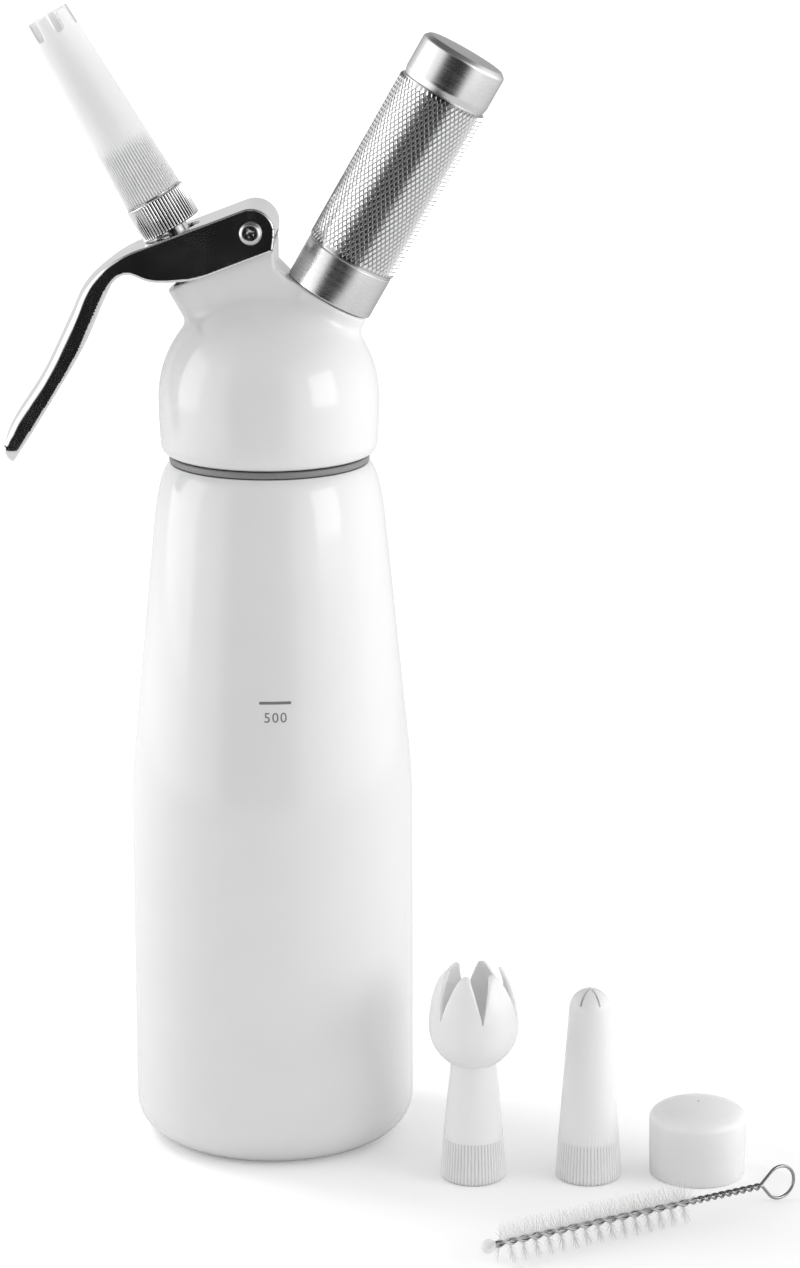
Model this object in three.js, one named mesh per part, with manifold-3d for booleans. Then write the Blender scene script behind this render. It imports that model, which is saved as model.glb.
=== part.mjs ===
import * as THREE from 'three';
import { mergeVertices } from 'three/addons/utils/BufferGeometryUtils.js';
import Module from 'manifold-3d';

const wasm = await Module();
wasm.setup();

// Whipped cream dispenser: a half-litre bottle, a screwed head with a lever valve and a gas
// charger, and the spare tips, cap and brush that stand beside it.
// Millimetres, +Z up. The origin is where the bottle's axis meets the table. +X points to the
// charger's side, -X to the lever's handle, -Y to the side that carries the fill mark.

// Clearances shared by all pieces
const seatGap = 0.3; // between faces that rest on each other
const runningGap = 0.15; // around round pieces that turn or slide
const threadGap = 0.4; // between the crest of a thread and the wall around it
const weldDistance = 1e-4; // between points that are one point
const joinDepth = 0.5; // how far joined solids reach into each other
const cutOverrun = 3; // how far a cutting solid reaches past the faces that it cuts

// Facet counts
const bodyFacets = 36;
const tubeFacets = 22;
const smallFacets = 16;
const threadFacets = 20;
const fineThreadFacets = 16;
const ballFacets = 16;
const pinFacets = 12;
const finePinFacets = 8;
const hexagonSides = 6;
const slotEndFacets = 6;
const ringSectionSides = 6;
const brushLoopSteps = 24;
const brushLoopSides = 6;
const beadFacets = 10;
const roundingSteps = 3;
const nearlyParallel = 0.9; // cosine of the angle between two directions

// Bottle
const bottleRadius = 38;
const bottleWall = 1.5;
const bottleFloor = 2.5;
const baseCornerRadius = 10;
const bodyHeight = 100; // where the straight side and the taper would meet
const bodyBlend = 7; // half the length of the rounding between them
const taperHeight = 70.7;
const taperTopRadius = 30.8;
const shoulderHeight = 16;
const shoulderFullnessShare = 0.86;
const ledgeRadius = 26.4;
const ledgeThickness = 3;

// Bottle neck and the head's screw thread
const neckRadius = 22.8; // at the thread's root
const neckWall = 2.6;
const neckHeight = 14.5;
const neckThreadDepth = 1.2;
const neckThreadPitch = 4;
const neckThreadTurns = 1.5;
const neckThreadWidth = 1.8;
const neckThreadStart = 3.2; // first turn's middle above the ledge

// Head gasket
const gasketThickness = 1.7;
const gasketOuterRadius = 26.6;

// Head casting
const skirtRadius = 28.5;
const skirtRounding = 1.6;
const domeRadius = 29.2;
const domeRise = 15; // height of the dome's centre above the head's lower edge
const chamberWall = 10.2; // from the chamber's roof to the dome's outside
const chamberDrop = 1.5; // how far the chamber's centre lies under the dome's centre
const headThreadTurns = 1.5;

// Valve axis: it leans to -X and crosses the bottle's axis
const valveTilt = 30; // degrees
const valveAxisRise = 1.6; // crossing point above the dome's centre
const bossRadius = 9.4;
const bossTop = 36.5; // distances along the valve axis start at the crossing point
const valveSeat = 18;
const valveBoreRadius = 5.2;
const seatPocketRadius = 8;
const springPocketRadius = 7.4;
const springPocketDepth = 5;

// Charger axis: it leans to +X
const chargerTilt = 29.6; // degrees
const chargerAxisDrop = 1.15; // crossing point under the dome's centre
const chargerBossRadius = 11.7;
const chargerBossTop = 32.2;
const spigotRadius = 9.3; // at the thread's root
const spigotHeight = 11;
const spigotBoreRadius = 5;
const chargerThreadDepth = 0.8;
const chargerThreadPitch = 2;
const chargerThreadTurns = 2;
const chargerThreadWidth = 1;
const chargerThreadStart = 1.6; // first turn's middle above the boss
const gasPassageRadius = 1.8;

// Lever hinge
const pivotX = -3.7;
const pivotHeight = 45; // above the dome's centre
const pylonHeadRadius = 4.2;
const pylonBackReach = 6.2;
const pylonBackDrop = 3.3;
const pivotPinRadius = 1.95;
const pivotSleeveWall = 0.75;
const pivotHeadRadius = 3.25;
const pivotHeadHeight = 1.9;
const pivotNutRadius = 3.6;
const pivotNutHeight = 2.6;
const screwCrownRadiusShare = 0.75; // of the head's radius, where its crown begins
const screwCrownHeightShare = 0.9;
const nutChamferShare = 0.8; // of the nut's radius and height, that its chamfer leaves
const nutBoreShare = 0.75;
const driverWidth = 0.9;
const driverLength = 3.6;
const driverDepth = 1.1;

// Lever
const leverEndRadius = 6.3;
const leverPlate = 1.7;
const leverWeb = 1.8;
const leverSlope = 21; // degrees, top edge of the fork
const leverReach = 66.1; // from the hinge to the handle's outermost point
const leverDrop = 62.3; // from the hinge down to the handle's tip
const handleHalfWidth = 8;
const handleTipRounding = 6; // of the handle's end, seen from the side that the hand holds
const forkLength = 33; // from the hinge to where the handle gets solid
const handleNeckLength = 15; // over which the fork narrows to the handle
const endWallDrop = 1;
const pusherRadius = 1.5;

// Dispensing piston
const pistonStemRadius = 4;
const pistonHeadRadius = 7;
const pistonHeadThickness = 2.1;
const pistonBore = 2.2;
const pistonPortRadius = 1.2;
const pistonShoulderRadius = 4.4;
const guideLength = 6;
const guideBottom = 24;
const threadStubRadius = 3.5;
const threadStubLength = 4.5;
const valveSealRadius = 7.3;
const valveSealThickness = 1.8;
const sealGrooveRadius = 3.2;
const oRingThickness = 1.4;

// Spring, spring cap and clip
const springWireRadius = 0.5;
const springRadius = 6.1; // of the wire's middle
const springTurns = 5.5;
const springSteps = 8;
const springSides = 5;
const springCapRadius = 7.6;
const springCapThickness = 1.5;
const springCapRim = 1.2;
const clipRadius = 5.4;
const clipThickness = 0.6;

// Nozzle adapter and its seal
const adapterBottom = 51.2; // along the valve axis
const adapterHeight = 8;
const adapterRadius = 8.25;
const adapterChamfer = 0.5;
const adapterBore = 3;
const adapterStubRadius = 6.3;
const adapterStubHeight = 6.8;
const adapterSealThickness = 1.1;

// Tips
const tipBaseRadius = 7.9;
const tipWall = 1.2;
const crownTipLength = 54.4;
const crownTipEndRadius = 5.6;
const crownSlots = 6;
const crownSlotDepth = 5.4;
const crownSlotWidth = 2.4;
const spareTipBaseRadius = 8.8;
const spareTipSocketRadius = 6.6;
const spareTipSocketDepth = 8;
const tulipHeight = 58;
const tulipNeckRadius = 6;
const tulipBulbRadius = 11.9;
const tulipBulbHeight = 42.6;
const tulipMouthRadius = 7.6;
const tulipPetals = 6;
const tulipCutDepth = 11.6;
const tulipCutShare = 0.68; // of the mouth's edge, cut away between the petals
const tulipTurn = 12.7; // degrees, from -Y to the first cut
const straightHeight = 52.6;
const straightShoulderHeight = 47.8;
const straightShoulderRadius = 5.3;
const starSlots = 3;
const starSlotWidth = 0.9;
const starSlotDepth = 3.4;

// Protective cap
const capRadius = 12.95;
const capHeight = 20;
const capCrown = 3.2;
const capEdgeRounding = 1.2;
const capWall = 1.8;
const capVentRadius = 0.4;

// Gas charger
const chargerLength = 65.3;
const chargerRadius = 9.1;
const chargerWall = 1.6;
const chargerNeckRadius = 4.3;
const chargerNeckLength = 8.5;
const chargerShoulderLength = 10;
const chargerEndRounding = 8;
const chargerMouthRadius = 1;

// Charger holder
const collarRadius = 12.05;
const collarLength = 11.4;
const knurlRadius = 12.35;
const knurlLength = 48.9;
const grooveWidth = 0.6;
const grooveDepth = 0.35;
const holderCapRadius = 11.9;
const holderCapLength = 12;
const holderCapRounding = 1.2;
const holderEndWall = 3;

// Piercing valve
const piercingBodyRadius = 4.7;
const piercingBodyLength = 8.2;
const piercingBodyBore = 1.2;
const piercingSealThickness = 1.2;
const piercingPinRadius = 0.6;
const piercingPinLength = 8;
const piercingReach = 1.6; // how far the pin stands in the charger's mouth
const chargerGasketThickness = 1.3;
const chargerGasketBore = 1.5;

// Places of the loose pieces on the table
const tulipPlace = [55, -38.7];
const straightPlace = [85.7, -37.8];
const capPlace = [114.9, -34.4];
const brushBeadPlace = [59.3, -99.9];
const brushYaw = 30.5; // degrees, from +X towards +Y

// Cleaning brush
const brushLength = 88.4; // from the bead's middle to the loop's middle
const brushCoreRadius = 0.75;
const brushLoopRadius = 4.55;
const brushLoopWire = 0.45;
const brushBeadRadius = 2;
const brushSleeveWall = 0.3;
const bristleStart = 3.2; // from the bead's middle
const bristleZone = 57;
const bristleReach = 5.9; // from the core's middle to the tips
const bristleSpokes = 18; // strand directions in one full turn of the twisted wire
const bristleStations = 150; // two strands at each
const bristleThickness = 0.32; // at the root
const restCut = 0.5; // depth of the flat that the bristles stand on

// Heights and places worked out from the sizes above
const taperSlope = (bottleRadius - taperTopRadius) / taperHeight;
const taperTop = bodyHeight + taperHeight;
const ledge = taperTop + shoulderHeight;
const neckTop = ledge + neckHeight;
const neckBore = neckRadius - neckWall;
const neckCrest = neckRadius + neckThreadDepth;
const gasketBottom = ledge + seatGap;
const headBottom = gasketBottom + gasketThickness + seatGap;
const socketRadius = neckCrest + threadGap;
const domeCentre = headBottom + domeRise;
const chamberRadius = domeRadius - chamberWall;
const chamberCentre = domeCentre - chamberDrop;
const blockHalfWidth = bossRadius - runningGap;
const forkHalfWidth = bossRadius + seatGap;
const leverHalfWidth = forkHalfWidth + leverPlate;
const pivot = new THREE.Vector2(pivotX, domeCentre + pivotHeight);
const valveOrigin = new THREE.Vector3(0, 0, domeCentre + valveAxisRise);
const chargerOrigin = new THREE.Vector3(0, 0, domeCentre - chargerAxisDrop);
const pivotBore = pivotPinRadius + runningGap + pivotSleeveWall;

// Distances along the valve axis
const springFloor = bossTop - springPocketDepth;
const sealTop = valveSeat - seatGap;
const sealBottom = sealTop - valveSealThickness;
const pistonBottom = sealBottom - seatGap - pistonHeadThickness;
const pusherArm = forkPusherArm();
const clipBottom = pusherArm - pusherRadius;
const capTop = clipBottom - seatGap;
const capBottom = capTop - springCapThickness;
const pistonShoulder = capBottom - seatGap;
const sealPocketTop = adapterBottom + adapterSealThickness + seatGap;
const stubTop = sealPocketTop + threadStubLength;
const tipBottom = adapterBottom + adapterHeight + seatGap;

// Distances along the charger axis
const holderBottom = chargerBossTop + seatGap;
const spigotTop = chargerBossTop + spigotHeight;
const holderLength = collarLength + knurlLength + holderCapLength + grooveWidth;
const holderTop = holderBottom + holderLength;
const holderThreadRadius = spigotRadius + chargerThreadDepth + threadGap;
const chargerTop = holderTop - holderEndWall - seatGap;
const chargerBottom = chargerTop - chargerLength;
const chargerGasketTop = chargerBottom - seatGap;
const piercingBodyTop = chargerGasketTop - chargerGasketThickness - seatGap;
const piercingBodyBottom = piercingBodyTop - piercingBodyLength;

// The pusher's middle lies on the valve axis, half its radius under the web's upper face.
function forkPusherArm() {
  const slope = THREE.MathUtils.degToRad(leverSlope);
  const tilt = THREE.MathUtils.degToRad(valveTilt);
  const across = pivotX * Math.sin(slope);
  const up = (valveAxisRise - pivotHeight) * Math.cos(slope);
  const webBottom = leverEndRadius - leverWeb;
  return (webBottom - across - up) / Math.cos(slope - tilt) - pusherRadius / 2;
}

// Closed surface of a geometry: shared vertices only, no collapsed triangles, faces outward.
function weld(geometry) {
  const bare = geometry.clone();
  bare.deleteAttribute('normal');
  bare.deleteAttribute('uv');
  const merged = mergeVertices(bare, weldDistance);
  const position = merged.getAttribute('position');
  const source = merged.index.array;
  const triangles = [];
  let volume = 0;
  const corner = [new THREE.Vector3(), new THREE.Vector3(), new THREE.Vector3()];
  for (let i = 0; i < source.length; i += 3) {
    const face = [source[i], source[i + 1], source[i + 2]];
    if (new Set(face).size < 3) continue;
    face.forEach((vertex, k) => corner[k].fromBufferAttribute(position, vertex));
    volume += corner[0].dot(corner[1].clone().cross(corner[2]));
    triangles.push(...face);
  }
  if (volume < 0) triangles.reverse();
  return { vertices: new Float32Array(position.array), triangles: new Uint32Array(triangles) };
}

function solidOf(geometry) {
  const { vertices, triangles } = weld(geometry);
  return new wasm.Manifold(new wasm.Mesh({ numProp: 3, vertProperties: vertices, triVerts: triangles }));
}

function geometryOf(solid) {
  const mesh = solid.getMesh();
  const geometry = new THREE.BufferGeometry();
  geometry.setAttribute('position', new THREE.BufferAttribute(new Float32Array(mesh.vertProperties), 3));
  geometry.setIndex(new THREE.BufferAttribute(new Uint32Array(mesh.triVerts), 1));
  geometry.computeVertexNormals();
  return geometry;
}

function joined(solids) {
  return solids.reduce((whole, solid) => whole.add(solid));
}

function cut(solid, tools) {
  return tools.reduce((rest, tool) => rest.subtract(tool), solid);
}

// Round solid about Z from its outline as [radius, height] pairs.
function turned(outline, facets = tubeFacets) {
  const points = outline.map(([radius, height]) => new THREE.Vector2(radius, height));
  return new THREE.LatheGeometry(points, facets).rotateX(Math.PI / 2);
}

function cylinder(radius, bottom, top, facets = tubeFacets) {
  return turned([[0, bottom], [radius, bottom], [radius, top], [0, top]], facets);
}

function ring(inner, outer, bottom, top, facets = tubeFacets) {
  return turned([[inner, bottom], [outer, bottom], [outer, top], [inner, top], [inner, bottom]], facets);
}

function box(width, depth, height, middle = [0, 0, 0]) {
  return new THREE.BoxGeometry(width, depth, height).translate(...middle);
}

// Flat shape in X and Z, extruded along Y to both sides of the middle plane.
function slabXZ(shape, halfWidth, steps = roundingSteps) {
  const settings = { depth: 2 * halfWidth, bevelEnabled: false, curveSegments: steps };
  return new THREE.ExtrudeGeometry(shape, settings).rotateX(Math.PI / 2).translate(0, halfWidth, 0);
}

function arc(radius, middleR, middleZ, fromDegrees, toDegrees, steps = roundingSteps) {
  const points = [];
  for (let i = 0; i <= steps; i++) {
    const angle = THREE.MathUtils.degToRad(fromDegrees + ((toDegrees - fromDegrees) * i) / steps);
    points.push([middleR + radius * Math.cos(angle), middleZ + radius * Math.sin(angle)]);
  }
  return points;
}

function bend(start, control, end, steps) {
  const curve = new THREE.QuadraticBezierCurve(
    new THREE.Vector2(...start),
    new THREE.Vector2(...control),
    new THREE.Vector2(...end),
  );
  return curve.getPoints(steps).map((point) => [point.x, point.y]);
}

// Body made of rings of points, each ring joined to the next and both ends closed.
function skin(rings) {
  const sides = rings[0].length;
  const positions = rings.flat().flatMap((point) => point.toArray());
  const index = [];
  for (let i = 0; i + 1 < rings.length; i++) {
    for (let k = 0; k < sides; k++) {
      const here = i * sides + k;
      const beside = i * sides + ((k + 1) % sides);
      index.push(here, beside, here + sides, beside, beside + sides, here + sides);
    }
  }
  const last = (rings.length - 1) * sides;
  for (let k = 1; k + 1 < sides; k++) {
    index.push(0, k + 1, k, last, last + k, last + k + 1);
  }
  const geometry = new THREE.BufferGeometry();
  geometry.setAttribute('position', new THREE.Float32BufferAttribute(positions, 3));
  geometry.setIndex(index);
  return geometry;
}

// Round tube through a list of points.
function tube(path, radius, sides) {
  const rings = [];
  let across = new THREE.Vector3(0, 0, 1);
  path.forEach((point, i) => {
    const before = path[Math.max(i - 1, 0)];
    const after = path[Math.min(i + 1, path.length - 1)];
    const along = after.clone().sub(before).normalize();
    if (Math.abs(across.dot(along)) > nearlyParallel) across = new THREE.Vector3(1, 0, 0);
    across = across.sub(along.clone().multiplyScalar(across.dot(along))).normalize();
    const other = along.clone().cross(across);
    const section = [];
    for (let k = 0; k < sides; k++) {
      const angle = (2 * Math.PI * k) / sides;
      const offset = across.clone().multiplyScalar(Math.cos(angle)).addScaledVector(other, Math.sin(angle));
      section.push(point.clone().addScaledVector(offset, radius));
    }
    rings.push(section);
  });
  return skin(rings);
}

// Right-handed thread ridge. It stands out of a shaft, or into a bore when depth is negative,
// and runs out at both ends.
function threadRidge({ root, depth, pitch, turns, width, start, facets }) {
  const rings = [];
  const steps = Math.round(turns * facets);
  const buried = root - Math.sign(depth) * joinDepth;
  for (let i = 0; i <= steps; i++) {
    const angle = (2 * Math.PI * i) / facets;
    const height = start + (pitch * i) / facets;
    const fade = Math.min(1, (i + 1) / roundingSteps, (steps - i + 1) / roundingSteps);
    const crest = root + depth * fade;
    const section = [[buried, -width / 2], [crest, -width / 4], [crest, width / 4], [buried, width / 2]];
    rings.push(
      section.map(([radius, rise]) =>
        new THREE.Vector3(radius * Math.cos(angle), radius * Math.sin(angle), height + rise),
      ),
    );
  }
  return skin(rings);
}

function tiltedAbout(origin, degrees) {
  const turn = new THREE.Matrix4().makeRotationY(THREE.MathUtils.degToRad(degrees));
  return turn.setPosition(origin);
}

const valveFrame = tiltedAbout(valveOrigin, -valveTilt);
const chargerFrame = tiltedAbout(chargerOrigin, chargerTilt);

function onValveAxis(geometry) {
  return geometry.applyMatrix4(valveFrame);
}

function onChargerAxis(geometry) {
  return geometry.applyMatrix4(chargerFrame);
}

// Pin or bore along Y at the lever's hinge.
function alongPivot(geometry) {
  return geometry.rotateX(Math.PI / 2).translate(pivot.x, 0, pivot.y);
}

function bottle() {
  const blendDrop = taperSlope * bodyBlend;
  const innerTaperTop = taperTopRadius - bottleWall;
  const shoulderReach = shoulderFullnessShare * shoulderHeight;
  const innerCorner = baseCornerRadius - bottleWall;
  const outline = [
    [0, 0],
    ...arc(baseCornerRadius, bottleRadius - baseCornerRadius, baseCornerRadius, -90, 0),
    ...bend(
      [bottleRadius, bodyHeight - bodyBlend],
      [bottleRadius, bodyHeight],
      [bottleRadius - blendDrop, bodyHeight + bodyBlend],
      2,
    ),
    ...bend(
      [taperTopRadius, taperTop],
      [taperTopRadius - taperSlope * shoulderReach, taperTop + shoulderReach],
      [ledgeRadius, ledge],
      4,
    ),
    [neckRadius, ledge],
    [neckRadius, neckTop],
    [neckBore, neckTop],
    ...bend(
      [neckBore, ledge - ledgeThickness],
      [innerTaperTop - taperSlope * shoulderReach, ledge - ledgeThickness],
      [innerTaperTop, taperTop],
      3,
    ),
    [bottleRadius - bottleWall, bodyHeight],
    ...arc(innerCorner, bottleRadius - bottleWall - innerCorner, bottleFloor + innerCorner, 0, -90, 2),
    [0, bottleFloor],
  ];
  const thread = threadRidge({
    root: neckRadius,
    depth: neckThreadDepth,
    pitch: neckThreadPitch,
    turns: neckThreadTurns,
    width: neckThreadWidth,
    start: ledge + neckThreadStart,
    facets: threadFacets,
  });
  return joined([turned(outline, bodyFacets), thread].map(solidOf));
}

function headGasket() {
  return solidOf(
    ring(neckCrest + seatGap, gasketOuterRadius, gasketBottom, gasketBottom + gasketThickness, bodyFacets),
  );
}

function headShell() {
  const outline = [
    [0, headBottom],
    ...arc(skirtRounding, skirtRadius - skirtRounding, headBottom + skirtRounding, -90, 0),
    ...arc(domeRadius, 0, domeCentre, 0, 90, 8),
  ];
  outline[outline.length - 1][0] = 0;
  return turned(outline, bodyFacets);
}

// Block that joins the nozzle boss, the hinge pylon and the charger boss, with flat sides.
function headBlock() {
  const shape = new THREE.Shape();
  const bossFoot = new THREE.Vector3(0, 0, valveSeat - seatPocketRadius).applyMatrix4(valveFrame);
  const bossMiddle = new THREE.Vector3(0, 0, bossTop).applyMatrix4(valveFrame);
  const pylonFront = pivot.x - pylonHeadRadius;
  const run = pylonFront - bossMiddle.x;
  const rise = run * Math.tan(THREE.MathUtils.degToRad(valveTilt));
  const chargerCorner = new THREE.Vector3(-chargerBossRadius, 0, chargerBossTop).applyMatrix4(chargerFrame);
  const chargerMiddle = new THREE.Vector3(0, 0, chargerBossTop).applyMatrix4(chargerFrame);
  const chargerFoot = new THREE.Vector3(0, 0, valveSeat).applyMatrix4(chargerFrame);
  const backTop = pivot.y - pylonBackDrop;
  shape.moveTo(bossFoot.x, bossFoot.z);
  shape.lineTo(bossMiddle.x, bossMiddle.z);
  shape.lineTo(pylonFront, bossMiddle.z + rise);
  shape.lineTo(pylonFront, pivot.y);
  shape.absarc(pivot.x, pivot.y, pylonHeadRadius, Math.PI, 0, true);
  shape.lineTo(pivot.x + pylonHeadRadius, backTop);
  shape.lineTo(pivot.x + pylonBackReach, backTop);
  shape.lineTo(pivot.x + pylonBackReach, chargerCorner.z + pylonBackDrop);
  shape.lineTo(chargerCorner.x, chargerCorner.z);
  shape.lineTo(chargerMiddle.x, chargerMiddle.z);
  shape.lineTo(chargerFoot.x, chargerFoot.z);
  return slabXZ(shape, blockHalfWidth, 2 * roundingSteps);
}

function head() {
  const inside = valveSeat - seatPocketRadius;
  const spigotThread = threadRidge({
    root: spigotRadius,
    depth: chargerThreadDepth,
    pitch: chargerThreadPitch,
    turns: chargerThreadTurns,
    width: chargerThreadWidth,
    start: chargerBossTop + chargerThreadStart,
    facets: fineThreadFacets,
  });
  const solids = [
    headShell(),
    headBlock(),
    onValveAxis(cylinder(bossRadius, inside, bossTop)),
    onChargerAxis(cylinder(chargerBossRadius, inside, chargerBossTop)),
    onChargerAxis(cylinder(spigotRadius, inside, spigotTop)),
    onChargerAxis(spigotThread),
  ];
  const chamber = new THREE.SphereGeometry(chamberRadius, ballFacets, ballFacets / 2);
  const tools = [
    cylinder(socketRadius, headBottom - cutOverrun, neckTop + seatGap, bodyFacets),
    chamber.rotateX(Math.PI / 2).translate(0, 0, chamberCentre),
    onValveAxis(cylinder(seatPocketRadius, inside - cutOverrun, valveSeat)),
    onValveAxis(cylinder(valveBoreRadius, inside, bossTop + cutOverrun)),
    onValveAxis(cylinder(springPocketRadius, springFloor, bossTop + cutOverrun)),
    onChargerAxis(cylinder(gasPassageRadius, inside, spigotTop, smallFacets)),
    onChargerAxis(cylinder(spigotBoreRadius, piercingBodyBottom - seatGap, spigotTop + cutOverrun)),
    alongPivot(cylinder(pivotBore + runningGap, -leverHalfWidth, leverHalfWidth, smallFacets)),
  ];
  const socketThread = threadRidge({
    root: socketRadius,
    depth: -neckThreadDepth + seatGap / 2,
    pitch: neckThreadPitch,
    turns: headThreadTurns,
    width: neckThreadWidth - seatGap,
    start: ledge + neckThreadStart + neckThreadPitch / 2,
    facets: threadFacets,
  });
  return cut(joined(solids.map(solidOf)), tools.map(solidOf)).add(solidOf(socketThread));
}

// The lever's outline is a list of [share of the reach, share of the drop] points that the
// handle's outer and inner edges run through, from the fork to the tip and back.
const handleOuterShares = [
  [-0.475, -0.084],
  [-0.586, -0.148],
  [-0.672, -0.238],
  [-0.732, -0.37],
  [-0.84, -0.605],
  [-0.965, -0.812],
  [-1, -0.918],
  [-0.971, -1],
];
const handleInnerShares = [
  [-0.842, -0.79],
  [-0.7, -0.54],
  [-0.614, -0.34],
  [-0.555, -0.222],
  [-0.49, -0.173],
  [-0.393, -0.198],
  [-0.254, -0.186],
];
const forkHeelShare = -0.73;

function leverOutline() {
  const shape = new THREE.Shape();
  const slope = THREE.MathUtils.degToRad(leverSlope);
  const heel = Math.asin(forkHeelShare);
  const place = ([across, down]) =>
    new THREE.Vector2(pivot.x + across * leverReach, pivot.y + down * leverDrop);
  shape.absarc(pivot.x, pivot.y, leverEndRadius, heel, Math.PI / 2 + slope, false);
  const outer = handleOuterShares.map(place);
  shape.lineTo(outer[0].x, outer[0].y);
  shape.splineThru(outer.slice(1));
  shape.splineThru(handleInnerShares.map(place));
  return shape;
}

// Hollow under the lever's web, open downward and, under the end wall, to the back.
function forkPocket() {
  const shape = new THREE.Shape();
  const slope = THREE.MathUtils.degToRad(leverSlope);
  const under = leverEndRadius - leverWeb;
  const front = pivot.x - forkLength;
  const topRun = forkLength - under * Math.sin(slope);
  const below = pivot.y - leverDrop / 3;
  shape.moveTo(pivot.x + leverEndRadius + cutOverrun, below);
  shape.lineTo(pivot.x + leverEndRadius + cutOverrun, pivot.y - endWallDrop);
  shape.absarc(pivot.x, pivot.y, under, -Math.asin(endWallDrop / under), Math.PI / 2 + slope, false);
  shape.lineTo(front, pivot.y + under * Math.cos(slope) - topRun * Math.tan(slope));
  shape.lineTo(front, below);
  return slabXZ(shape, forkHalfWidth);
}

// Plan of the lever: full width over the fork, then narrower over the handle.
function leverPlan() {
  const shape = new THREE.Shape();
  const neckEnd = -forkLength - handleNeckLength;
  const end = -leverReach - cutOverrun;
  const right = leverEndRadius + cutOverrun;
  const side = (sign) => [
    new THREE.Vector2(right, sign * leverHalfWidth),
    new THREE.Vector2(-forkLength, sign * leverHalfWidth),
    new THREE.Vector2(neckEnd, sign * handleHalfWidth),
    new THREE.Vector2(end, sign * handleHalfWidth),
  ];
  shape.setFromPoints([...side(1), ...side(-1).reverse()]);
  const settings = { depth: 2 * leverDrop, bevelEnabled: false };
  return new THREE.ExtrudeGeometry(shape, settings).translate(pivot.x, 0, pivot.y - 1.5 * leverDrop);
}

// What the rounded corners of the handle's end leave out, as two wedges beside an arch.
function handleEndWaste() {
  const tip = pivot.y - leverDrop;
  const side = handleHalfWidth + cutOverrun;
  const flat = handleHalfWidth - handleTipRounding;
  const shape = new THREE.Shape();
  shape.moveTo(-side, tip + handleTipRounding);
  shape.lineTo(-side, tip - cutOverrun);
  shape.lineTo(side, tip - cutOverrun);
  shape.lineTo(side, tip + handleTipRounding);
  shape.absarc(flat, tip + handleTipRounding, handleTipRounding, 0, -Math.PI / 2, true);
  shape.absarc(-flat, tip + handleTipRounding, handleTipRounding, -Math.PI / 2, -Math.PI, true);
  const settings = { depth: leverReach, bevelEnabled: false, curveSegments: 2 * roundingSteps };
  const geometry = new THREE.ExtrudeGeometry(shape, settings);
  return geometry.rotateX(Math.PI / 2).rotateZ(Math.PI / 2).translate(pivot.x - 1.5 * leverReach, 0, 0);
}

function stemSlot() {
  const half = clipRadius + runningGap;
  const slot = new THREE.Shape();
  slot.absarc(half / 4, 0, half, -Math.PI / 2, Math.PI / 2, false);
  slot.absarc(-half / 4, 0, half, Math.PI / 2, (3 * Math.PI) / 2, false);
  const depth = 2 * leverWeb + 2 * cutOverrun;
  const settings = { depth, bevelEnabled: false, curveSegments: slotEndFacets };
  const geometry = new THREE.ExtrudeGeometry(slot, settings);
  return onValveAxis(geometry.translate(0, 0, pusherArm - cutOverrun));
}

function pushers() {
  const inner = clipRadius + runningGap;
  const length = forkHalfWidth + joinDepth - inner;
  const middle = inner + length / 2;
  return [-1, 1].map((sign) =>
    onValveAxis(
      new THREE.CylinderGeometry(pusherRadius, pusherRadius, length, pinFacets).translate(
        0,
        sign * middle,
        pusherArm,
      ),
    ),
  );
}

function lever() {
  const blank = solidOf(slabXZ(leverOutline(), leverHalfWidth, 2 * roundingSteps));
  const hole = cylinder(pivotPinRadius + runningGap, -2 * leverHalfWidth, 2 * leverHalfWidth, smallFacets);
  const waste = [forkPocket(), stemSlot(), handleEndWaste()];
  return cut(blank.intersect(solidOf(leverPlan())), waste.map(solidOf))
    .add(joined(pushers().map(solidOf)))
    .subtract(solidOf(alongPivot(hole)));
}

function pivotSleeve() {
  const inner = pivotPinRadius + runningGap;
  return solidOf(alongPivot(ring(inner, pivotBore, -blockHalfWidth, blockHalfWidth, smallFacets)));
}

// The screw's axis runs along local Z, with its head at the top, which turns to -Y.
function pivotScrew() {
  const face = leverHalfWidth + seatGap / 2;
  const tail = -leverHalfWidth - seatGap - pivotNutHeight / 2;
  const outline = [
    [0, tail],
    [pivotPinRadius, tail],
    [pivotPinRadius, face],
    [pivotHeadRadius, face],
    [pivotHeadRadius, face + pivotHeadHeight / 2],
    [pivotHeadRadius * screwCrownRadiusShare, face + pivotHeadHeight * screwCrownHeightShare],
    [0, face + pivotHeadHeight],
  ];
  const top = [0, 0, face + pivotHeadHeight];
  const recess = [
    box(driverWidth, driverLength, 2 * driverDepth, top),
    box(driverLength, driverWidth, 2 * driverDepth, top),
  ];
  return cut(solidOf(turned(outline, smallFacets)), recess.map(solidOf));
}

function pivotNut() {
  const face = leverHalfWidth + seatGap / 2;
  const blank = turned(
    [
      [0, -face - pivotNutHeight],
      [pivotNutRadius * nutChamferShare, -face - pivotNutHeight],
      [pivotNutRadius, -face - pivotNutHeight * nutChamferShare],
      [pivotNutRadius, -face],
      [0, -face],
    ],
    hexagonSides,
  );
  const boreEnd = -face - pivotNutHeight * nutBoreShare;
  const bore = cylinder(pivotPinRadius + runningGap, boreEnd, -face + cutOverrun, smallFacets);
  return solidOf(blank).subtract(solidOf(bore));
}

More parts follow.
